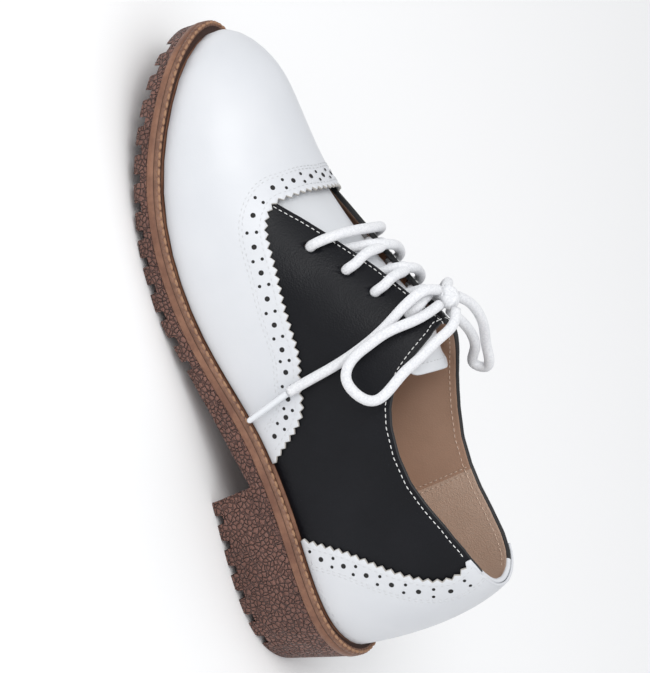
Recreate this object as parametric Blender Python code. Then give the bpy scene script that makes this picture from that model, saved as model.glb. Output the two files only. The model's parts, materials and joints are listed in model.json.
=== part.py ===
"""Saddle shoe for the left foot: sole, welt, hollow upper, overlays, tongue and lace."""
import math

import bmesh
import bpy
import numpy as np

MM = 0.001
BACK_X, TOE_X = 5.6, 264.5      # ends of the upper at the welt, from the back of the outsole
THROAT_X = 192.5                # where the facings run into the vamp
FACING_TOP_X = 127.0            # where the facings meet the collar
UPPER_OUT, UPPER_IN = -0.8, -3.0     # skin of the upper, measured from the last surface
OVERLAY_OUT, OVERLAY_IN = 0.6, -0.5
OVERLAY_SNAP = 0.6              # points of the upper this close to an overlay's edge lie on it
TONGUE_THICKNESS = 1.8
WELT_TOP, WELT_BOTTOM = -0.3, -5.6   # heights measured from the line where upper meets welt
SOLE_TOP = -5.9
TOE_SLOPE = 0.22                # rise of the welt past the toe of the upper
LUG_DEPTH, LUG_GAP = 4.0, 4.0
HEEL_TAPER, WALL_DRAFT = 3.2, 1.8
EYELET_RADIUS, EYELET_INSET = 2.5, 9.5
LACE_RADIUS = 2.15
AGLET_RADIUS, AGLET_LENGTH = 1.4, 21.0

# the line where the upper meets the welt
FEATHER = ("x", "lateral", "medial", "z"), [
    (5.6, 0.0, 0.0, 36.5),
    (8.5, 11.5, 11.0, 36.5),
    (16.0, 21.5, 20.5, 36.4),
    (30.0, 29.0, 27.0, 36.2),
    (45.0, 32.0, 28.6, 35.8),
    (62.0, 33.4, 27.6, 34.9),
    (80.0, 34.4, 25.0, 32.8),
    (100.0, 35.0, 23.2, 28.6),
    (120.0, 36.6, 23.8, 22.4),
    (142.0, 40.6, 27.8, 17.0),
    (163.0, 44.3, 33.0, 14.6),
    (184.0, 46.0, 36.4, 14.3),
    (204.0, 44.6, 36.8, 15.9),
    (222.0, 40.2, 33.8, 18.9),
    (240.0, 33.0, 28.4, 23.4),
    (252.0, 25.0, 21.6, 26.8),
    (260.5, 13.6, 11.8, 28.9),
    (264.5, 0.0, 0.0, 29.6),
]
# over each station: the ridge of the last, the bulge of the sides, how high and how wide the section is
SECTIONS = ("x", "ridge_x", "ridge_y", "ridge_z", "bulge_lateral", "bulge_medial",
            "rise", "spread_lateral", "spread_medial"), [
    (5.6, 48.0, 0.0, 121.0, 0.2, 0.2, 0.44, 0.77, 0.77),
    (16.0, 48.5, 0.0, 121.5, 1.2, 1.2, 0.44, 0.79, 0.79),
    (30.0, 51.0, 0.0, 122.0, 2.4, 2.0, 0.46, 0.80, 0.80),
    (45.0, 56.0, 0.0, 122.0, 3.2, 3.0, 0.47, 0.84, 0.86),
    (62.0, 67.0, 0.0, 122.0, 3.5, 5.5, 0.48, 0.88, 1.02),
    (80.0, 82.0, 0.5, 121.0, 3.5, 8.5, 0.48, 0.90, 1.24),
    (100.0, 102.0, 1.5, 117.0, 3.5, 11.0, 0.47, 0.84, 1.34),
    (120.0, 121.5, 2.5, 110.0, 3.0, 10.5, 0.46, 0.68, 1.06),
    (142.0, 142.0, 2.2, 98.0, 2.5, 8.0, 0.46, 0.56, 0.80),
    (163.0, 161.5, 0.5, 84.5, 2.0, 6.0, 0.46, 0.54, 0.76),
    (184.0, 180.5, -1.5, 71.5, 2.0, 4.5, 0.47, 0.53, 0.74),
    (204.0, 198.0, -2.0, 62.2, 2.0, 3.5, 0.50, 0.56, 0.68),
    (222.0, 213.0, -1.2, 58.8, 2.0, 2.5, 0.50, 0.58, 0.61),
    (240.0, 224.5, -0.3, 57.0, 2.0, 2.0, 0.48, 0.58, 0.58),
    (252.0, 230.5, 0.0, 56.2, 2.5, 2.5, 0.46, 0.56, 0.56),
    (264.5, 234.0, 0.0, 55.5, 3.5, 3.5, 0.38, 0.56, 0.56),
]
COLLAR = ("x", "lateral_z", "medial_z"), [
    (5.6, 103.6, 103.6),
    (12.0, 103.4, 103.4),
    (22.0, 102.5, 102.3),
    (34.0, 100.3, 99.8),
    (47.0, 96.3, 95.6),
    (58.0, 91.6, 91.6),
    (68.0, 87.8, 89.2),
    (80.0, 85.6, 88.2),
    (92.0, 85.2, 89.6),
    (100.0, 86.3, 91.6),
    (106.0, 88.6, 93.8),
    (112.0, 92.4, 97.0),
    (117.0, 97.0, 100.2),
    (121.0, 101.0, 102.8),
    (124.0, 103.6, 104.6),
    (127.0, 105.0, 105.4),
]
FACINGS = ("x", "lateral_y", "medial_y"), [
    (127.0, 4.2, 0.8),
    (133.0, 5.6, -0.6),
    (140.0, 8.6, -2.6),
    (157.0, 12.2, -6.2),
    (167.0, 15.8, -9.8),
    (175.0, 18.6, -13.0),
    (183.0, 22.5, -17.2),
    (190.0, 27.0, -21.5),
    (193.0, 28.8, -23.2),
]
WELT_WIDTH = ("x", "lateral", "medial"), [
    (5.6, 5.0, 5.0),
    (60.0, 4.6, 4.6),
    (120.0, 4.6, 4.8),
    (185.0, 4.8, 5.4),
    (240.0, 5.6, 5.8),
    (264.5, 6.2, 6.2),
]
TREAD = ("x", "z"), [
    (79.6, 19.8),
    (92.0, 15.8),
    (105.0, 11.9),
    (120.0, 7.8),
    (135.0, 4.2),
    (148.0, 1.4),
    (158.0, 0.0),
    (178.0, 0.0),
    (189.0, 1.0),
    (200.0, 2.3),
    (211.0, 3.7),
    (223.0, 5.6),
    (234.0, 8.0),
    (244.0, 10.6),
    (253.0, 13.2),
    (262.0, 15.6),
    (271.0, 17.6),
]
BREAST_FOOT_X, BREAST_TOP_X = 76.4, 79.6
HEEL_LUGS = (14.0, 24.5, 35.5, 46.5, 57.5, 68.5)
FOREFOOT_LUGS = (133.3, 144.0, 155.2, 166.6, 177.8, 188.9, 200.0, 211.4, 222.8, 233.8, 244.2, 253.6, 262.0)
# back edge of the white vamp: share of the way up the section, station x
VAMP_EDGE = ("up", "x"), [
    (0.0, 86.8),
    (0.083, 94.7),
    (0.159, 102.0),
    (0.189, 106.5),
    (0.238, 117.9),
    (0.282, 127.8),
    (0.315, 139.0),
    (0.353, 151.0),
    (0.402, 164.2),
    (0.443, 176.5),
    (0.500, 185.7),
    (0.566, 190.8),
    (0.664, 193.1),
    (0.784, 195.2),
    (0.900, 196.4),
    (1.0, 197.0),
]
# front edge of the heel cover: share of the way up to the collar, station x
FOXING_EDGE = ("up", "x"), [
    (0.0, 54.9),
    (0.14, 50.9),
    (0.31, 45.3),
    (0.46, 37.7),
    (0.62, 29.4),
    (0.78, 23.6),
    (0.92, 24.6),
    (1.0, 28.0),
]
UPPER_STATIONS = (
    5.6, 6.8, 10, 15, 21.5, 30, 39, 50, 62, 73, 84, 94, 102, 108, 113, 117.5, 121, 124, 127,
    133, 140, 148, 157, 166, 175, 183, THROAT_X, 199, 208, 217, 226, 234, 241, 247.5, 253, 257.5,
    261, 263.4, 264.5)
EYELETS = (170.4, 157.9, 146.4, 134.2)
# under the facings: station x, centre and half width across, depth under the last surface
TONGUE = ("x", "y", "half_width", "depth"), [
    (206.0, 1.5, 26.5, 4.0),
    (198.0, 2.2, 28.0, 4.0),
    (189.0, 2.6, 27.5, 4.5),
    (179.0, 2.4, 24.5, 5.2),
    (169.0, 2.6, 22.0, 5.5),
    (159.0, 2.8, 20.0, 5.5),
    (149.0, 2.9, 18.6, 5.5),
    (140.0, 2.9, 17.6, 5.5),
    (132.0, 2.6, 17.0, 5.5),
]
# above the collar the tongue stands free: x, centre, half width, height and how far its edges hang
TONGUE_TOP = ("x", "y", "half_width", "z", "drop"), [
    (123.0, 2.2, 17.0, 98.3, 9.0),
    (116.5, 3.0, 17.0, 98.6, 6.0),
    (110.0, 3.0, 17.4, 99.4, 4.0),
]
KNOT_CENTRE, KNOT_SIZE = (137.3, 3.0, 109.2), (6.0, 5.2, 4.2)
LOOP_LATERAL = [
    (135.2, 7.7, 106.9), (132.6, 15.4, 103.6), (130.8, 23.6, 99.2), (129.2, 30.4, 92.8), (125.4, 35.4, 84.9),
    (121.0, 38.8, 78.2), (115.6, 41.2, 75.8), (109.0, 42.0, 78.3), (104.0, 40.6, 85.4), (107.6, 37.0, 92.2),
    (112.3, 32.6, 97.0), (116.4, 26.0, 102.0), (122.0, 16.8, 107.6), (126.6, 9.4, 111.8), (131.7, 5.0, 112.0),
]
LOOP_MEDIAL = [
    (136.7, -2.4, 110.9), (133.0, -10.0, 112.0), (123.2, -20.5, 110.8), (113.5, -28.5, 106.4),
    (105.6, -33.5, 101.4), (107.6, -32.6, 97.6), (113.4, -27.4, 101.2), (120.2, -20.0, 105.0),
    (127.4, -7.0, 107.2), (132.0, -0.4, 106.9),
]
END_LATERAL = [
    (141.0, 7.3, 107.4), (142.0, 14.0, 105.6), (138.4, 21.0, 99.0), (131.8, 25.6, 90.6), (125.4, 31.2, 80.4),
    (120.2, 35.9, 67.9), (116.2, 38.8, 54.6), (114.2, 40.0, 48.6),
]
END_MEDIAL = [
    (140.8, -1.1, 106.9), (143.0, -7.6, 105.4), (142.0, -16.0, 99.8), (138.0, -24.0, 91.4),
    (133.0, -31.5, 80.0), (127.4, -37.0, 67.6), (122.6, -40.0, 56.0),
]
AGLET_LATERAL_TIP, AGLET_MEDIAL_TIP = (106.1, 42.5, 28.8), (118.0, -41.0, 36.2)


class Curve:
    """Natural cubic spline through a column of a table."""

    def __init__(self, at, values):
        self.at, self.values = np.asarray(at, float), np.asarray(values, float)
        self.step = np.diff(self.at)
        n = len(self.at)
        lhs, rhs = np.eye(n), np.zeros(n)
        slope = np.diff(self.values) / self.step
        for i in range(1, n - 1):
            lhs[i, i - 1:i + 2] = self.step[i - 1], 2 * (self.step[i - 1] + self.step[i]), self.step[i]
            rhs[i] = 6 * (slope[i] - slope[i - 1])
        self.bend = np.linalg.solve(lhs, rhs)

    def __call__(self, t):
        t = np.asarray(t, float)
        i = np.clip(np.searchsorted(self.at, t) - 1, 0, len(self.step) - 1)
        after, before, h = self.at[i + 1] - t, t - self.at[i], self.step[i]
        return ((self.bend[i] * after ** 3 + self.bend[i + 1] * before ** 3) / (6 * h)
                + (self.values[i] / h - self.bend[i] * h / 6) * after
                + (self.values[i + 1] / h - self.bend[i + 1] * h / 6) * before)


def station(x):
    """Place of x along the shoe on a scale that runs evenly round heel and toe."""
    return np.arccos(np.clip(1 - 2 * (np.asarray(x, float) - BACK_X) / (TOE_X - BACK_X), -1, 1)) / np.pi


def columns(table, along=None):
    names, rows = table
    data = np.array(rows, float)
    at = data[:, 0] if along is None else along(data[:, 0])
    return {name: Curve(at, data[:, k]) for k, name in enumerate(names) if k}


def straight(table, name, x):
    names, rows = table
    data = np.array(rows, float)
    return np.interp(x, data[:, 0], data[:, names.index(name)])


feather_of = columns(FEATHER, station)
seat_of = columns(FEATHER)["z"]
section_of = columns(SECTIONS, station)
width_of = columns(WELT_WIDTH, station)


def seat_z(x):
    return seat_of(np.clip(x, BACK_X, TOE_X)) + TOE_SLOPE * np.maximum(x - TOE_X, 0.0)


def feather(s, side):
    x = BACK_X + (TOE_X - BACK_X) * (1 - np.cos(np.pi * s)) / 2
    half = feather_of["lateral"](s) if side > 0 else -feather_of["medial"](s)
    return np.stack([x, half, seat_z(x)], -1)


def last(s, up, side):
    """Point of the last surface: s along the shoe, up from the welt (0) to the ridge (1)."""
    s, up = np.broadcast_arrays(np.asarray(s, float), np.asarray(up, float))
    hand = "lateral" if side > 0 else "medial"
    foot = feather(s, side)
    ridge = np.stack([section_of[name](s) for name in ("ridge_x", "ridge_y", "ridge_z")], -1)
    across = (foot - ridge) * np.array([1.0, 1.0, 0.0])
    outward = across / np.maximum(np.linalg.norm(across, axis=-1, keepdims=True), 1e-6)
    height = np.zeros_like(foot)
    height[..., 2] = ridge[..., 2] - foot[..., 2]
    low = foot + outward * section_of["bulge_" + hand](s)[..., None] + height * section_of["rise"](s)[..., None]
    high = ridge + across * section_of["spread_" + hand](s)[..., None]
    t = up[..., None]
    return foot * (1 - t) ** 3 + 3 * low * t * (1 - t) ** 2 + 3 * high * t * t * (1 - t) + ridge * t ** 3


def side_normal(s, up, side):
    step = 1e-4
    s0, s1 = max(s - step, 0.0), min(s + step, 1.0)
    u0, u1 = max(up - step, 0.0), min(up + step, 1.0)
    along = last(s1, up, side) - last(s0, up, side)
    rising = last(s, u1, side) - last(s, u0, side)
    n = np.cross(rising, along) * side
    return n / np.linalg.norm(n)


def skin(s, up, side, depth):
    """Point of the last surface moved out (or in, when negative) by depth."""
    n = side_normal(s, up, side)
    if s >= 1.0 and up >= 1.0:
        n = np.array([0.0, 0.0, 1.0])
    elif s <= 0.0 or s >= 1.0 or up >= 1.0:
        n = n + side_normal(s, up, -side)
    if up <= 0.0:
        n[2] = 0.0
    return last(s, up, side) + n / np.linalg.norm(n) * depth


def up_where(s, side, measure, value):
    """Share of the way up the section at which measure(point) reaches value."""
    up = np.linspace(0.05, 1.0, 400)
    return float(np.interp(value, measure(last(np.full(400, s), up, side)), up))


def edge_up(s, side):
    """How far up the section the upper reaches: the collar, then the facings."""
    x = feather(s, side)[0]
    if x <= FACING_TOP_X:
        level = straight(COLLAR, "lateral_z" if side > 0 else "medial_z", x)
        return up_where(s, side, lambda p: p[:, 2], level)
    edge = straight(FACINGS, "lateral_y" if side > 0 else "medial_y", min(x, THROAT_X))
    return up_where(s, side, lambda p: -side * p[:, 1], -side * edge)


def outline(x_or_s, side, out, as_station=False):
    """Plan point of the feather line moved outwards."""
    s = x_or_s if as_station else station(x_or_s)
    step = 1e-4
    def plan(t):
        if t < 0:
            return feather(-t, -side)[:2]
        if t > 1:
            return feather(2 - t, -side)[:2]
        return feather(t, side)[:2]
    tangent = plan(s + step) - plan(s - step)
    n = np.array([-tangent[1], tangent[0]]) * side
    return plan(s) + n / np.linalg.norm(n) * out


def colour_of(obj, colour, roughness):
    mat = bpy.data.materials.new(obj.name)
    mat.use_nodes = True
    bsdf = mat.node_tree.nodes["Principled BSDF"]
    bsdf.inputs["Base Color"].default_value = (*colour, 1.0)
    bsdf.inputs["Roughness"].default_value = roughness
    obj.data.materials.append(mat)


def solid(name, points, faces, colour, roughness):
    mesh = bpy.data.meshes.new(name)
    mesh.from_pydata([tuple(float(c) * MM for c in p) for p in points], [], faces)
    obj = bpy.data.objects.new(name, mesh)
    bpy.context.collection.objects.link(obj)
    bm = bmesh.new()
    bm.from_mesh(mesh)
    bmesh.ops.recalc_face_normals(bm, faces=bm.faces)
    if bm.calc_volume(signed=True) < 0:
        bmesh.ops.reverse_faces(bm, faces=bm.faces)
    bm.to_mesh(mesh)
    bm.free()
    colour_of(obj, colour, roughness)
    return obj


class Sheet:
    """One layer of triangles whose points have an outer and an inner place."""

    def __init__(self):
        self.index, self.places, self.outer, self.inner, self.faces = {}, [], [], [], []

    def point(self, key, outer, inner, place=None):
        if key not in self.index:
            self.index[key] = len(self.outer)
            self.outer.append(outer)
            self.inner.append(inner)
            self.places.append(place)
        return self.index[key]

    def strips(self, grid):
        for row, following in zip(grid, grid[1:]):
            for a, b, c, d in zip(row, following, following[1:], row[1:]):
                for face in ((a, b, c), (a, c, d)):
                    if len(set(face)) == 3:
                        self.faces.append(list(face))

    def thick(self, name, colour, roughness):
        n = len(self.outer)
        uses = {}
        for face in self.faces:
            for a, b in zip(face, face[1:] + face[:1]):
                uses.setdefault(frozenset((a, b)), []).append((a, b))
        rim = [pair[0] for pair in uses.values() if len(pair) == 1]
        faces = self.faces + [[i + n for i in reversed(face)] for face in self.faces]
        faces += [[b, a, a + n, b + n] for a, b in rim]
        return solid(name, self.outer + self.inner, faces, colour, roughness)

    def overlay(self, keep):
        """Layer over the part of this sheet where keep(s, up, side) is above 0."""
        layer = Sheet()
        value = [keep(*place) for place in self.places]
        value = [0.0 if abs(v) < OVERLAY_SNAP else v for v in value]
        ends = [(skin(*place, OVERLAY_OUT), skin(*place, OVERLAY_IN)) for place in self.places]

        def corner(i):
            return layer.point(i, *ends[i])

        def crossing(i, j):
            i, j = sorted((i, j))
            t = value[i] / (value[i] - value[j])
            return layer.point((i, j), *(a + (b - a) * t for a, b in zip(ends[i], ends[j])))

        for face in self.faces:
            kept = []
            for i, j in zip(face, face[1:] + face[:1]):
                if value[i] >= 0:
                    kept.append(corner(i) if max(value[k] for k in face) > 0 else None)
                if value[i] * value[j] < 0:
                    kept.append(crossing(i, j))
            if len(kept) > 2 and None not in kept:
                layer.faces += [[kept[0], b, c] for b, c in zip(kept[1:], kept[2:])]
        return layer


def shoe_key(s, up, side, row):
    """One name for a place that both sides of the shoe share."""
    shared = s <= 1e-9 or s >= 1 - 1e-9 or up >= 1 - 1e-9
    return round(s, 6), row, 0 if shared else side


def upper_sheet():
    sheet = Sheet()
    rows, extra = 8, 4
    throat = UPPER_STATIONS.index(THROAT_X)
    for side in (1, -1):
        grid = []
        for x in UPPER_STATIONS:
            s = float(station(x))
            top = edge_up(s, side)
            ups = [top * j / rows for j in range(rows + 1)]
            if x >= THROAT_X:
                ups += [top + (1 - top) * j / extra for j in range(1, extra)] + [1.0]
            grid.append([sheet.point(shoe_key(s, up, side, j), skin(s, up, side, UPPER_OUT),
                                     skin(s, up, side, UPPER_IN), (s, up, side)) for j, up in enumerate(ups)])
        sheet.strips([column[:rows + 1] for column in grid[:throat + 1]])
        sheet.strips(grid[throat:])
    return sheet


def station_x(s):
    return BACK_X + (TOE_X - BACK_X) * (1 - math.cos(math.pi * s)) / 2


def make_vamp(sheet):
    edge_x = columns(VAMP_EDGE)["x"]
    layer = sheet.overlay(lambda s, up, side: station_x(s) - float(edge_x(up)))
    return layer.thick("vamp", (0.80, 0.81, 0.83), 0.38)


def make_foxing(sheet):
    edge_x = columns(FOXING_EDGE)["x"]
    layer = sheet.overlay(lambda s, up, side: float(edge_x(up / edge_up(s, side))) - station_x(s)
                          if station_x(s) < 80 else -1.0)
    return layer.thick("heel_foxing", (0.80, 0.81, 0.83), 0.38)


def eyelet_place(x, side):
    s = float(station(x))
    edge = straight(FACINGS, "lateral_y" if side > 0 else "medial_y", x)
    up = up_where(s, side, lambda p: -side * p[:, 1], -side * (edge + side * EYELET_INSET))
    return s, up


def punch_eyelets(upper):
    points, faces = [], []
    sides = 8
    for x in EYELETS:
        for side in (1, -1):
            s, up = eyelet_place(x, side)
            centre, n = last(s, up, side), side_normal(s, up, side)
            across = np.cross(n, [1.0, 0.0, 0.0])
            across /= np.linalg.norm(across)
            along = np.cross(n, across)
            start = len(points)
            for depth in (3.0, -6.0):
                for k in range(sides):
                    a = 2 * math.pi * k / sides
                    points.append(centre + n * depth
                                  + EYELET_RADIUS * (math.cos(a) * across + math.sin(a) * along))
            ring = list(range(start, start + sides))
            faces += [[a, b, b + sides, a + sides] for a, b in zip(ring, ring[1:] + ring[:1])]
            faces += [ring[::-1], [i + sides for i in ring]]
    punch = solid("eyelet_punch", points, faces, (1.0, 0.0, 0.0), 0.5)
    cut = upper.modifiers.new("eyelets", "BOOLEAN")
    cut.operation, cut.solver, cut.object = "DIFFERENCE", "EXACT", punch
    bpy.context.view_layer.update()
    graph = bpy.context.evaluated_depsgraph_get()
    mesh = bpy.data.meshes.new_from_object(upper.evaluated_get(graph))
    upper.modifiers.clear()
    upper.data = mesh
    bpy.data.objects.remove(punch)


def make_tongue():
    sheet = Sheet()
    shares = np.linspace(-1, 1, 11)
    grid = []
    for row, (x, centre, half, depth) in enumerate(TONGUE[1]):
        s = float(station(x))
        ridge = float(section_of["ridge_y"](s))
        line = []
        for k, share in enumerate(shares):
            y = centre + half * share
            side = 1 if y >= ridge else -1
            up = up_where(s, side, lambda p: -side * p[:, 1], -side * y)
            line.append(sheet.point((row, k), skin(s, up, side, -depth),
                                    skin(s, up, side, -depth - TONGUE_THICKNESS)))
        grid.append(line)
    for row, (x, y, half, z, drop) in enumerate(TONGUE_TOP[1], len(grid)):
        line = []
        for k, share in enumerate(shares):
            place = np.array([x, y + half * share, z - drop * share * share])
            line.append(sheet.point((row, k), place, place - np.array([0.0, 0.0, TONGUE_THICKNESS])))
        grid.append(line)
    sheet.strips(grid)
    return sheet.thick("tongue", (0.78, 0.79, 0.81), 0.45)


def loop_stations(count):
    return [(k / count, 1) for k in range(count + 1)] + [(k / count, -1) for k in range(count - 1, 0, -1)]


def make_welt():
    """Ring with a smooth side band, a raised bead on top and a groove against the upper."""
    profile = [("edge", 0.0, WELT_BOTTOM), ("edge", 0.0, -2.3), ("edge", -0.5, -0.9), ("edge", -1.6, WELT_TOP),
               ("edge", -3.0, WELT_TOP), ("edge", -3.6, -1.0), ("feather", 0.0, -1.0), ("feather", -1.0, WELT_TOP),
               ("feather", -8.5, WELT_TOP), ("feather", -8.5, WELT_BOTTOM)]
    points, faces = [], []
    ring = loop_stations(28)
    for s, side in ring:
        width = float(width_of["lateral" if side > 0 else "medial"](s))
        for start, out, rise in profile:
            x, y = outline(s, side, out + (width if start == "edge" else 0.0), True)
            points.append((x, y, seat_z(x) + rise))
    n, m = len(ring), len(profile)
    for i in range(n):
        for k in range(m):
            a, b = i * m + k, i * m + (k + 1) % m
            c, d = (i + 1) % n * m + (k + 1) % m, (i + 1) % n * m + k
            faces.append([a, b, c, d])
    return solid("welt", points, faces, (0.20, 0.10, 0.065), 0.55)


def make_insole():
    """Footbed whose lower part fills the welt ring."""
    levels = [(-9.0, WELT_BOTTOM), (-9.0, 0.0), (-3.7, 0.0), (-4.3, 2.2)]
    count = 24
    ring = loop_stations(count)
    points, faces = [], []
    for out, rise in levels:
        for s, side in ring:
            x, y = outline(s, side, out, True)
            points.append((x, y, seat_z(x) + rise))
    n = len(ring)
    for k in range(len(levels) - 1):
        for i in range(n):
            a, b = k * n + i, k * n + (i + 1) % n
            faces.append([a, b, b + n, a + n])
    for start, flip in ((0, True), ((len(levels) - 1) * n, False)):
        for i in range(count):
            a, b = start + i, start + i + 1
            c, d = start + (n - i - 1) % n, start + (n - i) % n
            face = list(dict.fromkeys((a, b, c, d)))
            faces.append(face[::-1] if flip else face)
    return solid("insole", points, faces, (0.30, 0.17, 0.11), 0.7)


def sole_edge(side):
    """x and y of the outsole's top edge as a dense line."""
    line = []
    for s in np.linspace(0, 1, 500):
        width = float(width_of["lateral" if side > 0 else "medial"](s))
        line.append(outline(s, side, width - 0.3, True))
    return np.array(line)


def sole_slices(x_back, x_toe):
    """Where the outsole is cut across, each with the depth of the tread there."""
    gaps = [(x - LUG_GAP / 2, x + LUG_GAP / 2) for x in HEEL_LUGS + FOREFOOT_LUGS]
    plain = [x_back + 0.15, x_back + 0.6, x_back + 1.6, x_back + 3.2, x_back + 5.6, x_back + 8.6,
             x_toe - 0.15, x_toe - 0.6, x_toe - 1.5, x_toe - 2.8, x_toe - 4.4,
             30.0, 52.0, 73.0, 88.0, 96.0, 105.0, 114.0, 123.0, 149.5, 161.0, 172.0, 183.0, 194.0, 205.5,
             217.0, 228.3, 239.0, 249.0, 257.8]
    cuts = [(x, 0.0) for x in plain if not any(a < x < b for a, b in gaps)]
    for a, b in gaps:
        cuts += [(a, 0.0), (a + 0.05, LUG_DEPTH), (b - 0.05, LUG_DEPTH), (b, 0.0)]
    cuts += [(BREAST_FOOT_X, 0.0), (BREAST_TOP_X, 0.0)]
    return sorted(cuts)


def make_outsole():
    edges = {side: sole_edge(side) for side in (1, -1)}
    x_back, x_toe = edges[1][0, 0], edges[1][-1, 0]
    points, faces = [], []
    cuts = sole_slices(x_back, x_toe)
    for x, gap in cuts:
        top = seat_z(x) + SOLE_TOP
        on_heel = x <= BREAST_FOOT_X
        foot = 0.0 if on_heel else float(straight(TREAD, "z", x))
        share = min(gap / (top - foot), 0.9)
        x_foot = x + HEEL_TAPER * (1 - x / BREAST_FOOT_X) if on_heel else x
        ring = []
        for side in (1, -1):
            y = np.interp(x, edges[side][:, 0], edges[side][:, 1])
            inner = y - side * min(WALL_DRAFT + (0.8 if on_heel else 0.0), 0.6 * abs(y))
            low = np.array([x_foot, inner, foot])
            high = np.array([x, y, top])
            ring.append([high, high * 0.42 + low * 0.58 + np.array([0, side * 0.3, 0]), low])
        for line in ring:
            if gap:
                line[2] = line[2] + (line[0] - line[2]) * share
                line[1] = line[0] * 0.5 + line[2] * 0.5
        points += ring[0] + ring[1][::-1]
    m = 6
    for i in range(len(cuts) - 1):
        for k in range(m):
            a, b = i * m + k, i * m + (k + 1) % m
            faces.append([a, b, b + m, a + m])
    faces += [list(range(m)), list(range(len(points) - m, len(points)))[::-1]]
    return solid("outsole", points, faces, (0.075, 0.034, 0.026), 0.62)


def smooth_path(points, count):
    data = np.array(points, float)
    at = np.concatenate([[0], np.cumsum(np.linalg.norm(np.diff(data, axis=0), axis=1))])
    curves = [Curve(at, data[:, k]) for k in range(3)]
    return np.stack([curve(np.linspace(0, at[-1], count)) for curve in curves], -1)


def on_shoe(x, y, height):
    """Point over the last at plan place x, y."""
    s = float(station(x))
    side = 1 if y >= float(section_of["ridge_y"](s)) else -1
    up = up_where(s, side, lambda p: -side * p[:, 1], -side * y)
    return last(s, up, side) + side_normal(s, min(up, 0.999), side) * height


def tube(name, path, radius, sides, colour, roughness):
    path = np.array(path, float)
    points, faces = [], []
    tangents = np.gradient(path, axis=0)
    guide = np.array([1.0, 0.0, 0.0])
    for place, tangent in zip(path, tangents):
        tangent = tangent / np.linalg.norm(tangent)
        first = guide - tangent * np.dot(guide, tangent)
        first /= np.linalg.norm(first)
        second = np.cross(tangent, first)
        for k in range(sides):
            a = 2 * math.pi * k / sides
            points.append(place + radius * (math.cos(a) * first + math.sin(a) * second))
    for i in range(len(path) - 1):
        for k in range(sides):
            a, b = i * sides + k, i * sides + (k + 1) % sides
            faces.append([a, b, b + sides, a + sides])
    faces += [list(range(sides))[::-1], list(range(len(points) - sides, len(points)))]
    return solid(name, points, faces, colour, roughness)


def make_bar():
    x = EYELETS[0]
    y_out = straight(FACINGS, "lateral_y", x) + EYELET_INSET
    y_in = straight(FACINGS, "medial_y", x) - EYELET_INSET
    middle = (y_out + y_in) / 2
    route = [on_shoe(x, y_out, 1.55), on_shoe(x + 0.8, y_out - 6, 3.4), on_shoe(x + 1.6, middle + 7, 3.2),
             on_shoe(x + 1.8, middle, 3.0), on_shoe(x + 1.6, middle - 7, 3.2),
             on_shoe(x + 0.8, y_in + 6, 3.4), on_shoe(x, y_in, 1.55)]
    return tube("lace_bar", smooth_path(route, 11), LACE_RADIUS, 8, (0.84, 0.85, 0.87), 0.85)


def make_crossing(name, lower, higher):
    """Two strands, each from under one facing over the tongue to the next eyelet of the other."""
    strands = []
    for side in (1, -1):
        near, far = ("lateral_y", "medial_y") if side > 0 else ("medial_y", "lateral_y")
        start_x, centre_x = lower - 2.6, (lower + higher) / 2 - 0.3
        start_y = straight(FACINGS, near, start_x) - side * 3.9
        middle = (straight(FACINGS, near, centre_x) + straight(FACINGS, far, centre_x)) / 2
        end_y = straight(FACINGS, far, higher) - side * EYELET_INSET
        over_y = straight(FACINGS, far, higher + 2.2) - side * 2.5
        route = [on_shoe(start_x, start_y, -2.2), on_shoe((start_x + centre_x) / 2, (start_y + middle) / 2, 1.4),
                 on_shoe(centre_x, middle, 2.4), on_shoe(higher + 2.6, over_y, 2.9),
                 on_shoe(higher, end_y, 1.6)]
        strands.append(tube(name if side > 0 else name + "_other", smooth_path(route, 10), LACE_RADIUS, 8,
                            (0.84, 0.85, 0.87), 0.85))
    joined, other = strands
    join = joined.modifiers.new("join", "BOOLEAN")
    join.operation, join.solver, join.object = "UNION", "EXACT", other
    bpy.context.view_layer.update()
    graph = bpy.context.evaluated_depsgraph_get()
    mesh = bpy.data.meshes.new_from_object(joined.evaluated_get(graph))
    joined.modifiers.clear()
    joined.data = mesh
    mesh.materials.clear()
    colour_of(joined, (0.84, 0.85, 0.87), 0.85)
    bpy.data.objects.remove(other)
    return joined


def make_knot():
    rings, sides = 7, 12
    points, faces = [], []
    for j in range(1, rings):
        tilt = math.pi * j / rings
        for k in range(sides):
            a = 2 * math.pi * k / sides
            unit = (math.sin(tilt) * math.cos(a), math.sin(tilt) * math.sin(a), math.cos(tilt))
            points.append([c + r * u for c, r, u in zip(KNOT_CENTRE, KNOT_SIZE, unit)])
    for j in range(rings - 2):
        for k in range(sides):
            a, b = j * sides + k, j * sides + (k + 1) % sides
            faces.append([a, b, b + sides, a + sides])
    faces += [list(range(sides)), list(range(len(points) - sides, len(points)))[::-1]]
    return solid("lace_knot", points, faces, (0.84, 0.85, 0.87), 0.85)


def cord(name, path, radius, colour, roughness):
    data = bpy.data.curves.new(name, "CURVE")
    data.dimensions = "3D"
    spline = data.splines.new("POLY")
    spline.points.add(len(path) - 1)
    for point, place in zip(spline.points, path):
        point.co = (*(float(c) * MM for c in place), 1.0)
    data.bevel_depth = radius * MM
    data.bevel_resolution = 2
    data.use_fill_caps = True
    data.render_resolution_u = 0
    obj = bpy.data.objects.new(name, data)
    bpy.context.collection.objects.link(obj)
    colour_of(obj, colour, roughness)
    return obj


def aglet_path(end, tip):
    end, tip = np.array(end), np.array(tip)
    way = (tip - end) / np.linalg.norm(tip - end)
    return [end + way * 0.5, end + way * (0.5 + AGLET_LENGTH)]


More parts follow.
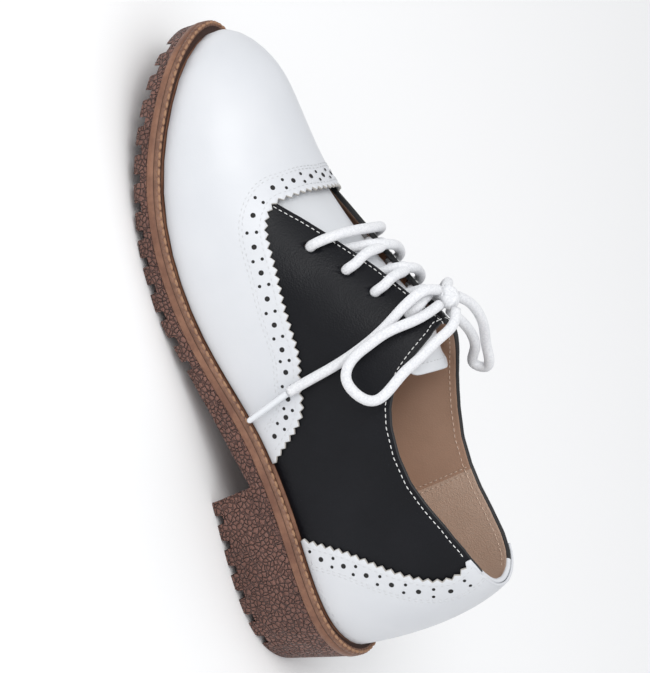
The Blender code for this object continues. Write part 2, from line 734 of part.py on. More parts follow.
def make_lace():
    white = (0.84, 0.85, 0.87)
    cords = [
        cord("lace_loop_lateral", smooth_path(LOOP_LATERAL, 30), LACE_RADIUS, white, 0.85),
        cord("lace_loop_medial", smooth_path(LOOP_MEDIAL, 26), LACE_RADIUS, white, 0.85),
        cord("lace_end_lateral", smooth_path(END_LATERAL, 14), LACE_RADIUS, white, 0.85),
        cord("lace_end_medial", smooth_path(END_MEDIAL, 14), LACE_RADIUS, white, 0.85),
        cord("aglet_lateral", aglet_path(END_LATERAL[-1], AGLET_LATERAL_TIP), AGLET_RADIUS, (0.7, 0.72, 0.74), 0.25),
        cord("aglet_medial", aglet_path(END_MEDIAL[-1], AGLET_MEDIAL_TIP), AGLET_RADIUS, (0.7, 0.72, 0.74), 0.25),
    ]
    return [make_knot()] + cords


def centre_on_box(bodies, everything):
    """Put the origin at the bottom centre of the box round the bodies."""
    corners = np.array([obj.matrix_world @ v.co for obj in bodies for v in obj.data.vertices])
    low, high = corners.min(0), corners.max(0)
    shift = (-(low[0] + high[0]) / 2, -(low[1] + high[1]) / 2, -low[2])
    for obj in everything:
        if obj.type == "MESH":
            for v in obj.data.vertices:
                v.co = [c + d for c, d in zip(v.co, shift)]
        else:
            for point in obj.data.splines[0].points:
                point.co = [c + d for c, d in zip(point.co, (*shift, 0.0))]
    print("shift", [round(c / MM, 4) for c in shift])


def main():
    for obj in list(bpy.data.objects):
        bpy.data.objects.remove(obj)
    sheet = upper_sheet()
    upper = sheet.thick("upper", (0.012, 0.012, 0.015), 0.42)
    punch_eyelets(upper)
    bodies = [make_outsole(), make_welt(), make_insole(), upper, make_vamp(sheet), make_foxing(sheet), make_tongue(),
              make_bar(),
              make_crossing("lace_cross_low", EYELETS[0], EYELETS[1]),
              make_crossing("lace_cross_mid", EYELETS[1], EYELETS[2]),
              make_crossing("lace_cross_top", EYELETS[2], EYELETS[3])]
    cords = make_lace()
    centre_on_box(bodies, bodies + cords)


main()
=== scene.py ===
import json
import math

import bmesh
import bpy
import numpy as np
from mathutils import Matrix

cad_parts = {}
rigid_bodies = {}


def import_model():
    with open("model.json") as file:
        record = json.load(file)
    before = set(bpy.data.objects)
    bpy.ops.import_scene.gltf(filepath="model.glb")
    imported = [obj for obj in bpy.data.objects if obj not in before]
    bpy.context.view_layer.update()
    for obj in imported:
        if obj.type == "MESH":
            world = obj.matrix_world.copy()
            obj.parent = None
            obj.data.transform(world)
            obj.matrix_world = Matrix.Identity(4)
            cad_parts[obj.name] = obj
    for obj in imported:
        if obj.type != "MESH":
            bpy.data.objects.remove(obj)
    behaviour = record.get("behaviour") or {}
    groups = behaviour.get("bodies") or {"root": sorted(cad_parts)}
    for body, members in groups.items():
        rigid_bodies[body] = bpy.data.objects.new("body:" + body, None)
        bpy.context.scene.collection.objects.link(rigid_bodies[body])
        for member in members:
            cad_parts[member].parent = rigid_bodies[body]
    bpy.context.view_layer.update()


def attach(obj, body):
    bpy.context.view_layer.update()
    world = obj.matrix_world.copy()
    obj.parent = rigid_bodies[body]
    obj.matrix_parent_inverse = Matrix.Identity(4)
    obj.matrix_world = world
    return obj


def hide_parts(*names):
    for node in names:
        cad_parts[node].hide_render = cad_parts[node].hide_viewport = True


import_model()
mm = 0.001
# the tables are in mm from the back of the outsole; this brings them to the frame
shift = np.array([-135.65, -4.1786, 0.0])
backX, toeX, throatX = 5.6, 264.5, 198.6

featherTable = ("x", "lateral", "medial", "z"), [
    (5.6, 0.0, 0.0, 36.5), (8.5, 11.5, 11.0, 36.5), (16.0, 21.5, 20.5, 36.4),
    (30.0, 29.0, 27.0, 36.2), (45.0, 32.0, 28.6, 35.8), (62.0, 33.4, 27.6, 34.9),
    (80.0, 34.4, 25.0, 32.8), (100.0, 35.0, 23.2, 28.6), (120.0, 36.6, 23.8, 22.4),
    (142.0, 40.6, 27.8, 17.0), (163.0, 44.3, 33.0, 14.6), (184.0, 46.0, 36.4, 14.3),
    (204.0, 44.6, 36.8, 15.9), (222.0, 40.2, 33.8, 18.9), (240.0, 33.0, 28.4, 23.4),
    (252.0, 25.0, 21.6, 26.8), (260.5, 13.6, 11.8, 28.9), (264.5, 0.0, 0.0, 29.6),
]
sectionTable = ("x", "ridgeX", "ridgeY", "ridgeZ", "bulgeLateral", "bulgeMedial", "rise",
                "spreadLateral", "spreadMedial"), [
    (5.6, 48.0, 0.0, 121.0, 0.2, 0.2, 0.44, 0.77, 0.77),
    (16.0, 48.5, 0.0, 121.5, 1.2, 1.2, 0.44, 0.79, 0.79),
    (30.0, 51.0, 0.0, 122.0, 2.4, 2.0, 0.46, 0.80, 0.80),
    (45.0, 56.0, 0.0, 122.0, 3.2, 3.0, 0.47, 0.84, 0.86),
    (62.0, 67.0, 0.0, 122.0, 3.5, 5.5, 0.48, 0.88, 1.02),
    (80.0, 82.0, 0.5, 121.0, 3.5, 8.5, 0.48, 0.90, 1.24),
    (100.0, 102.0, 1.5, 117.0, 3.5, 11.0, 0.47, 0.84, 1.34),
    (120.0, 121.5, 2.5, 110.0, 3.0, 10.5, 0.46, 0.68, 1.06),
    (142.0, 142.0, 2.2, 98.0, 2.5, 8.0, 0.46, 0.56, 0.80),
    (163.0, 161.5, 0.5, 84.5, 2.0, 6.0, 0.46, 0.54, 0.76),
    (184.0, 180.5, -1.5, 71.5, 2.0, 4.5, 0.47, 0.53, 0.74),
    (204.0, 198.0, -2.0, 62.2, 2.0, 3.5, 0.50, 0.56, 0.68),
    (222.0, 213.0, -1.2, 58.8, 2.0, 2.5, 0.50, 0.58, 0.61),
    (240.0, 224.5, -0.3, 57.0, 2.0, 2.0, 0.48, 0.58, 0.58),
    (252.0, 230.5, 0.0, 56.2, 2.5, 2.5, 0.46, 0.56, 0.56),
    (264.5, 234.0, 0.0, 55.5, 3.5, 3.5, 0.38, 0.56, 0.56),
]
collarTable = ("x", "lateral", "medial"), [
    (5.6, 103.6, 103.6), (12.0, 103.4, 103.4), (22.0, 102.5, 102.3), (34.0, 100.3, 99.8),
    (47.0, 96.3, 95.6), (58.0, 91.6, 91.6), (68.0, 87.8, 89.2), (80.0, 85.6, 88.2),
    (92.0, 85.2, 89.6), (100.0, 86.3, 91.6), (106.0, 88.6, 93.8), (112.0, 92.4, 97.0),
    (117.0, 97.0, 100.2), (121.0, 101.0, 102.8), (124.0, 103.6, 104.6), (127.0, 105.0, 105.4),
]
facingTable = ("x", "lateral", "medial"), [
    (127.0, 4.2, 0.8), (133.0, 5.6, -0.6), (140.0, 8.6, -2.6), (157.0, 12.2, -6.2),
    (167.0, 15.8, -9.8), (175.0, 18.6, -13.0), (183.0, 22.5, -17.2), (190.0, 27.0, -21.5),
    (193.0, 28.8, -23.2), (200.0, 33.0, -27.0),
]


# natural cubic spline through a column of a table
def spline(at, values):
    at, values = np.asarray(at, float), np.asarray(values, float)
    step, n = np.diff(at), len(at)
    left, right, slope = np.eye(n), np.zeros(n), np.diff(values) / step
    for i in range(1, n - 1):
        left[i, i - 1:i + 2] = step[i - 1], 2 * (step[i - 1] + step[i]), step[i]
        right[i] = 6 * (slope[i] - slope[i - 1])
    bend = np.linalg.solve(left, right)

    def curve(t):
        t = np.asarray(t, float)
        i = np.clip(np.searchsorted(at, t) - 1, 0, n - 2)
        after, before, h = at[i + 1] - t, t - at[i], step[i]
        return ((bend[i] * after ** 3 + bend[i + 1] * before ** 3) / (6 * h)
                + (values[i] / h - bend[i] * h / 6) * after
                + (values[i + 1] / h - bend[i + 1] * h / 6) * before)
    return curve


def station(x):
    return np.arccos(np.clip(1 - 2 * (np.asarray(x, float) - backX) / (toeX - backX), -1, 1)) / np.pi


def stationX(s):
    return backX + (toeX - backX) * (1 - np.cos(np.pi * np.asarray(s, float))) / 2


def columns(table, along=None):
    names, rows = table
    data = np.array(rows, float)
    at = data[:, 0] if along is None else along(data[:, 0])
    return {name: spline(at, data[:, k]) for k, name in enumerate(names) if k}


def straight(table, name, x):
    names, rows = table
    data = np.array(rows, float)
    return np.interp(x, data[:, 0], data[:, names.index(name)])


featherOf = columns(featherTable, station)
seatOf = columns(featherTable)["z"]
sectionOf = columns(sectionTable, station)


def seatZ(x):
    return seatOf(np.clip(x, backX, toeX)) + 0.22 * np.maximum(np.asarray(x, float) - toeX, 0.0)


def pick(side, lateral, medial):
    return np.where(np.asarray(side) > 0, lateral, medial)


def feather(s, side):
    x = stationX(s)
    y = pick(side, featherOf["lateral"](s), -featherOf["medial"](s))
    x, y, z = np.broadcast_arrays(x, y, seatZ(x))
    return np.stack([x, y, z], -1)


# points of the last surface: s along the shoe, up from the welt (0) to the ridge (1)


def last(s, up, side):
    s, up, side = np.broadcast_arrays(*(np.asarray(a, float) for a in (s, up, side)))
    foot = feather(s, side)
    ridge = np.stack([sectionOf[n](s) for n in ("ridgeX", "ridgeY", "ridgeZ")], -1)
    across = (foot - ridge) * np.array([1.0, 1.0, 0.0])
    outward = across / np.maximum(np.linalg.norm(across, axis=-1, keepdims=True), 1e-6)
    height = np.zeros_like(foot)
    height[..., 2] = ridge[..., 2] - foot[..., 2]
    bulge = pick(side, sectionOf["bulgeLateral"](s), sectionOf["bulgeMedial"](s))[..., None]
    spread = pick(side, sectionOf["spreadLateral"](s), sectionOf["spreadMedial"](s))[..., None]
    low = foot + outward * bulge + height * sectionOf["rise"](s)[..., None]
    high = ridge + across * spread
    t = up[..., None]
    return (foot * (1 - t) ** 3 + 3 * low * t * (1 - t) ** 2 + 3 * high * t * t * (1 - t)
            + ridge * t ** 3)


# how far up the section the upper reaches at one station
def topUpAt(s, side):
    x = float(stationX(s))
    up = np.linspace(0.05, 1.0, 500)
    line = last(np.full(500, s), up, side)
    name = "lateral" if side > 0 else "medial"
    if x <= 127.0:
        return float(np.interp(straight(collarTable, name, x), line[:, 2], up))
    return float(np.interp(-side * straight(facingTable, name, x), -side * line[:, 1], up))


topStations = np.linspace(0, float(station(200.0)), 420)
topUps = {side: np.array([topUpAt(s, side) for s in topStations]) for side in (1, -1)}


def topUp(s, side):
    return pick(side, np.interp(s, topStations, topUps[1]), np.interp(s, topStations, topUps[-1]))


def onLast(s, v, side):
    return last(s, v, side)


# the same surface with v running from the welt (0) to the collar (1)


def onQuarter(s, v, side):
    return last(s, np.asarray(v, float) * topUp(s, side), side)


def partials(surface, s, v, side):
    h = 1e-4
    s0, s1 = np.maximum(s - h, 0), np.minimum(s + h, 1)
    v0, v1 = np.maximum(v - h, 0), np.minimum(v + h, 1)
    alongS = (surface(s1, v, side) - surface(s0, v, side)) / (s1 - s0)[..., None]
    alongV = (surface(s, v1, side) - surface(s, v0, side)) / (v1 - v0)[..., None]
    return alongS, alongV


def normals(surface, s, v, side):
    alongS, alongV = partials(surface, s, v, side)
    n = np.cross(alongV, alongS) * np.asarray(side, float)[..., None]
    return n / np.maximum(np.linalg.norm(n, axis=-1, keepdims=True), 1e-9)


def skin(surface, s, v, side, depth):
    s, v, side, depth = np.broadcast_arrays(*(np.asarray(a, float) for a in (s, v, side, depth)))
    n = normals(surface, s, v, side)
    ridge = v >= 1 - 1e-6 if surface is onLast else np.zeros(s.shape, bool)
    shared = ridge | (s <= 1e-6) | (s >= 1 - 1e-6)
    n = np.where(shared[..., None], n + normals(surface, s, v, -side), n)
    n = np.where(((s >= 1 - 1e-6) & ridge)[..., None], np.array([0.0, 0.0, 1.0]), n)
    n = n * np.where(v <= 1e-6, 0.0, 1.0)[..., None] ** np.array([0.0, 0.0, 1.0])
    n = n / np.linalg.norm(n, axis=-1, keepdims=True)
    return surface(s, v, side) + n * depth[..., None]


# walks along the surface from (s, v) by a distance in mm in the direction way
def march(surface, s, v, side, way, distance, steps=4):
    s, v, side = s.copy(), v.copy(), np.array(side, float).copy()
    for _ in range(steps):
        a, b = partials(surface, s, v, side)
        aa, ab, bb = (a * a).sum(-1), (a * b).sum(-1), (b * b).sum(-1)
        ra, rb = (a * way).sum(-1), (b * way).sum(-1)
        det = np.maximum(aa * bb - ab * ab, 1e-9)
        s = s + (ra * bb - rb * ab) / det * distance / steps
        v = v + (rb * aa - ra * ab) / det * distance / steps
        if surface is onLast:
            over = v > 1
            side = np.where(over, -side, side)
            v = np.where(over, 2 - v, v)
    return np.clip(s, 0, 1), np.clip(v, 0, 1), side


# share of the way up at which the last has plan place y
def upAcross(s, y):
    side = 1 if y >= float(sectionOf["ridgeY"](s)) else -1
    up = np.linspace(0.05, 1.0, 400)
    return float(np.interp(-side * y, -side * last(np.full(400, s), up, side)[:, 1], up)), side


def overLast(x, y, height):
    s = float(station(x))
    up, side = upAcross(s, y)
    return skin(onLast, s, min(up, 0.999), side, height)


def outline(s, side, out):
    h = 1e-4

    def plan(t):
        flip = (t < 0) | (t > 1)
        u = np.where(t < 0, -t, np.where(t > 1, 2 - t, t))
        return feather(u, np.where(flip, -side, side))[..., :2]
    tangent = plan(s + h) - plan(s - h)
    n = np.stack([-tangent[..., 1], tangent[..., 0]], -1) * np.asarray(side, float)[..., None]
    n /= np.linalg.norm(n, axis=-1, keepdims=True)
    return plan(s) + n * np.asarray(out, float)[..., None]


def addObject(name, data):
    obj = bpy.data.objects.new(name, data)
    bpy.context.collection.objects.link(obj)
    return obj


def turnOutward(mesh, weld=0.0):
    bm = bmesh.new()
    bm.from_mesh(mesh)
    if weld:
        bmesh.ops.remove_doubles(bm, verts=bm.verts, dist=weld)
    bmesh.ops.recalc_face_normals(bm, faces=bm.faces)
    if bm.calc_volume(signed=True) < 0:
        bmesh.ops.reverse_faces(bm, faces=bm.faces)
    bm.to_mesh(mesh)
    bm.free()


def makeMesh(name, points, faces):
    mesh = bpy.data.meshes.new(name)
    places = (np.asarray(points, float) + shift) * mm
    mesh.from_pydata(places.tolist(), [], [list(map(int, f)) for f in faces])
    turnOutward(mesh)
    mesh.polygons.foreach_set("use_smooth", [True] * len(mesh.polygons))
    return mesh


def addPiece(name, mesh, materials, replaces=()):
    obj = addObject("dressed_" + name, mesh)
    if not mesh.materials:
        for material in materials:
            mesh.materials.append(material)
    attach(obj, "root")
    if replaces:
        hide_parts(*replaces)
    return obj


# quads between rows of point numbers, with the folded ones dropped
def grid(rows):
    faces = []
    for row, following in zip(rows, rows[1:]):
        for face in zip(row, following, following[1:], row[1:]):
            face = list(dict.fromkeys(face))
            if len(face) > 2:
                faces.append(face)
    return faces


# one number for each point that differs, with the faces that are left
def welded(points, faces, digits):
    keys, order, remap = {}, [], []
    for i, p in enumerate(points):
        key = tuple(np.round(p, digits))
        if key not in keys:
            keys[key] = len(order)
            order.append(i)
        remap.append(keys[key])
    faces = [list(dict.fromkeys(remap[i] for i in f)) for f in faces]
    return order, [f for f in faces if len(f) > 2]


# closes a sheet with a rounded rim; gives its points, its faces and where the rim's faces start
def thicken(outer, inner, faces, roundness=0.8, steps=3):
    outer, inner = np.asarray(outer, float), np.asarray(inner, float)
    n, uses = len(outer), {}
    for face in faces:
        for a, b in zip(face, face[1:] + face[:1]):
            uses.setdefault((min(a, b), max(a, b)), []).append((a, b))
    rim = [pair[0] for pair in uses.values() if len(pair) == 1]
    up = outer - inner
    up /= np.maximum(np.linalg.norm(up, axis=1, keepdims=True), 1e-9)
    away = np.zeros_like(outer)
    centre = {}
    for face in faces:
        for a, b in zip(face, face[1:] + face[:1]):
            if len(uses[(min(a, b), max(a, b))]) == 1:
                centre[(a, b)] = outer[face].mean(0)
    for a, b in rim:
        edge = outer[b] - outer[a]
        side = np.cross(edge, up[a])
        side *= np.sign(np.dot(side, (outer[a] + outer[b]) / 2 - centre[(a, b)])) or 1.0
        away[a] += side
        away[b] += side
    points = [outer, inner]
    onRim = sorted({i for pair in rim for i in pair})
    place = {i: k for k, i in enumerate(onRim)}
    out = away[onRim]
    out /= np.maximum(np.linalg.norm(out, axis=1, keepdims=True), 1e-9)
    half = (outer[onRim] - inner[onRim]) / 2
    middle = (outer[onRim] + inner[onRim]) / 2
    size = np.linalg.norm(half, axis=1, keepdims=True)
    for k in range(1, steps + 1):
        a = math.pi * k / (steps + 1)
        points.append(middle + half * math.cos(a) + out * size * math.sin(a) * roundness)
    closed = [list(f) for f in faces] + [[i + n for i in reversed(f)] for f in faces]
    rings = [lambda i, k=k: 2 * n + k * len(onRim) + place[i] for k in range(steps)]
    rings = [lambda i: i, *rings, lambda i: i + n]
    first = len(closed)
    for low, high in zip(rings, rings[1:]):
        closed += [[low(b), low(a), high(a), high(b)] for a, b in rim]
    return np.concatenate(points), closed, first


# round tube along a path
def tube(path, radius, sides, taper=None):
    path = np.array(path, float)
    tangents = np.gradient(path, axis=0)
    tangents /= np.linalg.norm(tangents, axis=1, keepdims=True)
    guide = np.array([0.3, 0.2, 1.0])
    points = []
    for k, (place, t) in enumerate(zip(path, tangents)):
        guide = guide - t * np.dot(guide, t)
        guide /= np.linalg.norm(guide)
        second = np.cross(t, guide)
        r = radius * (taper[k] if taper is not None else 1.0)
        for j in range(sides):
            a = 2 * math.pi * j / sides
            points.append(place + r * (math.cos(a) * guide + math.sin(a) * second))
    rows = [[i * sides + j % sides for j in range(sides + 1)] for i in range(len(path))]
    faces = grid(rows)
    faces += [list(range(sides))[::-1], list(range(len(points) - sides, len(points)))]
    return points, faces


# length run so far at each point of a line
def runOf(line):
    return np.concatenate([[0], np.cumsum(np.linalg.norm(np.diff(line, axis=0), axis=1))])


def smoothPath(points, count):
    data = np.array(points, float)
    at = runOf(data)
    curves = [spline(at, data[:, k]) for k in range(3)]
    return np.stack([curve(np.linspace(0, at[-1], count)) for curve in curves], -1)


# a Principled material with short calls for the nodes that feed it
class Shader:
    def __init__(self, name, colour, roughness, **sockets):
        self.material = bpy.data.materials.new(name)
        self.material.use_nodes = True
        self.tree = self.material.node_tree
        self.surface = self.tree.nodes["Principled BSDF"]
        self.surface.inputs["Base Color"].default_value = (*colour, 1)
        self.surface.inputs["Roughness"].default_value = roughness
        for key, value in sockets.items():
            self.surface.inputs[key.replace("_", " ")].default_value = value
        self.place = self.node("ShaderNodeTexCoord").outputs["Object"]
        self.normal = None

    def node(self, kind, **values):
        node = self.tree.nodes.new(kind)
        for key, value in values.items():
            setattr(node, key, value)
        return node

    def link(self, a, b):
        self.tree.links.new(a, b)

    def noise(self, scale, detail=2.0, rough=0.5):
        node = self.node("ShaderNodeTexNoise")
        node.inputs["Scale"].default_value = scale
        node.inputs["Detail"].default_value = detail
        node.inputs["Roughness"].default_value = rough
        self.link(self.place, node.inputs["Vector"])
        return node.outputs["Fac"]

    def cells(self, scale, feature="DISTANCE_TO_EDGE", wobble=0.0):
        vector = self.place
        if wobble:
            noise = self.node("ShaderNodeTexNoise")
            noise.inputs["Scale"].default_value = scale * 0.9
            self.link(self.place, noise.inputs["Vector"])
            mix = self.node("ShaderNodeVectorMath", operation="MULTIPLY_ADD")
            self.link(noise.outputs["Color"], mix.inputs[0])
            mix.inputs[1].default_value = (wobble,) * 3
            self.link(self.place, mix.inputs[2])
            vector = mix.outputs[0]
        node = self.node("ShaderNodeTexVoronoi", feature=feature)
        node.inputs["Scale"].default_value = scale
        self.link(vector, node.inputs["Vector"])
        return node.outputs["Distance"]

    def ramp(self, value, low, high, start=0.0, end=1.0):
        node = self.node("ShaderNodeMapRange", interpolation_type="SMOOTHSTEP")
        self.link(value, node.inputs["Value"])
        for key, number in zip(("From Min", "From Max", "To Min", "To Max"), (low, high, start, end)):
            node.inputs[key].default_value = number
        return node.outputs["Result"]

    def tint(self, factor, low, high):
        node = self.node("ShaderNodeMix", data_type="RGBA")
        self.link(factor, node.inputs["Factor"])
        for socket, value in zip(node.inputs[6:8], (low, high)):  # the two colours of the mix
            if isinstance(value, tuple):
                socket.default_value = (*value, 1)
            else:
                self.link(value, socket)
        return node.outputs[2]

    def colour(self, socket):
        self.link(socket, self.surface.inputs["Base Color"])

    def rough(self, socket):
        self.link(socket, self.surface.inputs["Roughness"])

    def bump(self, height, distance, strength=1.0):
        node = self.node("ShaderNodeBump")
        node.inputs["Distance"].default_value = distance * mm
        node.inputs["Strength"].default_value = strength
        self.link(height, node.inputs["Height"])
        if self.normal:
            self.link(self.normal, node.inputs["Normal"])
        self.normal = node.outputs["Normal"]
        self.link(self.normal, self.surface.inputs["Normal"])


# group with the pores, the fine creases and the slow shade changes of finished leather
def leatherGrain():
    tree = bpy.data.node_groups.new("leatherGrain", "ShaderNodeTree")
    sockets = {}
    for name, kind, way in (("Place", "Vector", "INPUT"), ("Pore Scale", "Float", "INPUT"),
                            ("Pores", "Float", "OUTPUT"), ("Creases", "Float", "OUTPUT"),
                            ("Shade", "Float", "OUTPUT")):
        sockets[name] = tree.interface.new_socket(name, in_out=way, socket_type="NodeSocket" + kind)
    sockets["Pore Scale"].default_value = 1500
    nodes, links = tree.nodes, tree.links
    start, end = nodes.new("NodeGroupInput"), nodes.new("NodeGroupOutput")
    pores = nodes.new("ShaderNodeTexVoronoi")
    fine, slow, creases = (nodes.new("ShaderNodeTexNoise") for _ in range(3))
    for node, scale, detail in ((fine, 900, 3), (slow, 24, 3), (creases, 55, 2)):
        node.inputs["Scale"].default_value, node.inputs["Detail"].default_value = scale, detail
    mixed = nodes.new("ShaderNodeMath")
    mixed.operation = "MULTIPLY_ADD"
    mixed.inputs[1].default_value = 0.6
    for node in (pores, fine, slow, creases):
        links.new(start.outputs["Place"], node.inputs["Vector"])
    links.new(start.outputs["Pore Scale"], pores.inputs["Scale"])
    links.new(fine.outputs["Fac"], mixed.inputs[0])
    links.new(pores.outputs["Distance"], mixed.inputs[2])
    links.new(mixed.outputs[0], end.inputs["Pores"])
    links.new(creases.outputs["Fac"], end.inputs["Creases"])
    links.new(slow.outputs["Fac"], end.inputs["Shade"])
    return tree


grainGroup = leatherGrain()


# smooth finished leather: soft shade changes, fine pores and a few long creases
def leather(name, colour, dark, roughness, grain, pores=1500, crease=0.35, **sockets):
    look = Shader(name, colour, roughness, **sockets)
    group = look.node("ShaderNodeGroup")
    group.node_tree = grainGroup
    group.inputs["Pore Scale"].default_value = pores
    look.link(look.place, group.inputs["Place"])
    look.colour(look.tint(look.ramp(group.outputs["Shade"], 0.35, 0.7), dark, colour))
    look.rough(look.ramp(group.outputs["Creases"], 0.3, 0.7, roughness - 0.05, roughness + 0.07))
    look.bump(group.outputs["Pores"], grain)
    look.bump(group.outputs["Creases"], crease)
    return look.material


whiteLeather = leather("white_leather", (0.69, 0.702, 0.726), (0.655, 0.67, 0.698), 0.38, 0.012,
                       crease=0.25, Specular_IOR_Level=0.4)
blackLeather = leather("black_leather", (0.0060, 0.0065, 0.0092), (0.0038, 0.0042, 0.0062), 0.42, 0.07,
                       1300, Specular_IOR_Level=0.2)
tongueLeather = leather("tongue_leather", (0.69, 0.702, 0.724), (0.655, 0.67, 0.694), 0.42, 0.02)
liningLeather = leather("lining_leather", (0.50, 0.325, 0.235), (0.43, 0.275, 0.195), 0.55, 0.05)
gripLeather = leather("grip_leather", (0.66, 0.49, 0.385), (0.56, 0.41, 0.315), 0.9, 0.14)
sockLeather = leather("sock_leather", (0.52, 0.35, 0.255), (0.46, 0.305, 0.215), 0.6, 0.05)
cutEdge = Shader("cut_edge", (0.44, 0.42, 0.39), 0.8).material
edgeBlack = Shader("black_edge", (0.008, 0.008, 0.009), 0.5).material
threadWhite = Shader("white_thread", (0.82, 0.82, 0.80), 0.7).material
threadTan = Shader("tan_thread", (0.34, 0.185, 0.105), 0.7).material
threadLining = Shader("lining_thread", (0.66, 0.53, 0.43), 0.7).material
threadGrey = Shader("grey_thread", (0.60, 0.61, 0.62), 0.7).material
# near-black for the punched holes: painted shade where the hole's inside would be
holeShade = Shader("hole_shade", (0.012, 0.011, 0.011), 0.8).material


def soleMaterial():
    look = Shader("sole_rubber", (0.10, 0.042, 0.034), 0.55)
    crack = look.ramp(look.cells(500, wobble=0.0014), 0.0, 0.12)
    dome = look.ramp(look.cells(500, wobble=0.0014), 0.0, 0.5)
    shade = look.tint(look.ramp(look.noise(30, 3), 0.3, 0.7), (0.155, 0.068, 0.05),
                      (0.215, 0.10, 0.075))
    # the grooves between the cells are tinted a darker brown: painted shade in the cracks, on top of
    # their bump
    look.colour(look.tint(crack, (0.095, 0.04, 0.03), shade))
    look.rough(look.ramp(look.noise(300, 2), 0.3, 0.7, 0.45, 0.65))
    look.bump(crack, 0.45)
    look.bump(dome, 0.6)
    look.bump(look.noise(1600, 2), 0.06)
    return look.material


def stripMaterial(name, plain, roughness, scale, dark, light, grain, depth):
    look = Shader(name, plain, roughness)
    look.colour(look.tint(look.ramp(look.noise(scale, 4, 0.7), 0.3, 0.75), dark, light))
    look.bump(look.noise(grain, 3), depth)
    return look.material


def laceMaterial():
    look = Shader("lace_braid", (0.83, 0.84, 0.86), 0.9, Sheen_Weight=0.25, Sheen_Roughness=0.5)
    look.bump(look.cells(1300, "F1"), 0.12)
    look.bump(look.noise(2600, 2), 0.06)
    look.colour(look.tint(look.ramp(look.cells(1300, "F1"), 0.2, 0.9), (0.80, 0.805, 0.82),
                          (0.70, 0.71, 0.735)))
    return look.material


def agletMaterial():
    look = Shader("aglet_film", (0.74, 0.76, 0.79), 0.22, Coat_Weight=0.6, Coat_Roughness=0.1)
    look.bump(look.noise(500, 2), 0.05)
    return look.material


soleRubber = soleMaterial()
weltBand = stripMaterial("welt_strip", (0.19, 0.085, 0.05), 0.45, 90, (0.15, 0.062, 0.035),
                         (0.27, 0.13, 0.075), 700, 0.05)
weltBead = stripMaterial("welt_bead", (0.33, 0.19, 0.11), 0.5, 140, (0.13, 0.058, 0.034),
                         (0.25, 0.125, 0.075), 900, 0.06)
# near-black brown for the welt's groove and for the gap where the welt meets the upper: painted shade
# in these recesses
weltGrooveShade = Shader("welt_groove_shade", (0.05, 0.022, 0.015), 0.7).material
laceBraid, agletFilm = laceMaterial(), agletMaterial()


# geometry nodes that set an item on each point, turned to the point's own axes
def strewTree():
    tree = bpy.data.node_groups.new("strewOnSeam", "GeometryNodeTree")
    for name, kind in (("Geometry", "Geometry"), ("Item", "Object"), ("Size", "Float"),
                       ("Finish", "Material")):
        tree.interface.new_socket(name, in_out="INPUT", socket_type="NodeSocket" + kind)
    tree.interface.new_socket("Geometry", in_out="OUTPUT", socket_type="NodeSocketGeometry")
    nodes, links = tree.nodes, tree.links
    start, end = nodes.new("NodeGroupInput"), nodes.new("NodeGroupOutput")
    dots = nodes.new("GeometryNodeMeshToPoints")
    spread = nodes.new("GeometryNodeInstanceOnPoints")
    turn = nodes.new("FunctionNodeAxesToRotation")
    turn.primary_axis, turn.secondary_axis = "Z", "X"
    thing = nodes.new("GeometryNodeObjectInfo")
    real, paint = nodes.new("GeometryNodeRealizeInstances"), nodes.new("GeometryNodeSetMaterial")
    for key, socket in (("axisUp", 0), ("axisAlong", 1)):
        node = nodes.new("GeometryNodeInputNamedAttribute")
        node.data_type = "FLOAT_VECTOR"
        node.inputs["Name"].default_value = key
        links.new(node.outputs[0], turn.inputs[socket])
    links.new(start.outputs["Geometry"], dots.inputs[0])
    links.new(start.outputs["Item"], thing.inputs["Object"])
    links.new(start.outputs["Size"], spread.inputs["Scale"])
    links.new(start.outputs["Finish"], paint.inputs["Material"])
    links.new(dots.outputs[0], spread.inputs["Points"])
    links.new(thing.outputs["Geometry"], spread.inputs["Instance"])
    links.new(turn.outputs[0], spread.inputs["Rotation"])
    links.new(spread.outputs[0], real.inputs[0])
    links.new(real.outputs[0], paint.inputs[0])
    links.new(paint.outputs[0], end.inputs[0])
    return tree


strewGroup = strewTree()


# sets item on every place; the result is one plain mesh
def strew(name, places, ups, alongs, item, material, slot=None, size=1.0):
    mesh = bpy.data.meshes.new(name + "_points")
    mesh.from_pydata(((np.asarray(places) + shift) * mm).tolist(), [], [])
    for key, values in (("axisUp", ups), ("axisAlong", alongs)):
        attribute = mesh.attributes.new(key, "FLOAT_VECTOR", "POINT")
        attribute.data.foreach_set("vector", np.asarray(values, float).ravel())
    seed = addObject(name + "_points", mesh)
    modifier = seed.modifiers.new("strew", "NODES")
    modifier.node_group = strewGroup
    for socket in strewGroup.interface.items_tree:
        value = {"Item": item, "Size": size, "Finish": material}.get(socket.name)
        if socket.in_out == "INPUT" and value is not None:
            modifier[socket.identifier] = value
    bpy.context.view_layer.update()
    graph = bpy.context.evaluated_depsgraph_get()
    result = bpy.data.meshes.new_from_object(seed.evaluated_get(graph))
    for attribute in [a.name for a in result.attributes if a.name in ("axisUp", "axisAlong")]:
        result.attributes.remove(result.attributes[attribute])
    result.name = name
    result.polygons.foreach_set("use_smooth", [True] * len(result.polygons))
    bpy.data.objects.remove(seed)
    return addPiece(name, result, [material])


def itemObject(name, points, faces):
    mesh = bpy.data.meshes.new(name)
    mesh.from_pydata((np.asarray(points) * mm).tolist(), [], faces)
    turnOutward(mesh, 1e-7)
    return addObject(name, mesh)


# mm; the first is the thread of the black part, the others are finer
stitchLook = dict(pitch=2.5, inset=1.75, black=(1.75, 0.4, 0.1), white=(1.7, 0.34, 0.08),
                  lining=(1.8, 0.36, 0.08), grip=(1.8, 0.4, 0.08), tongue=(1.8, 0.36, 0.06))


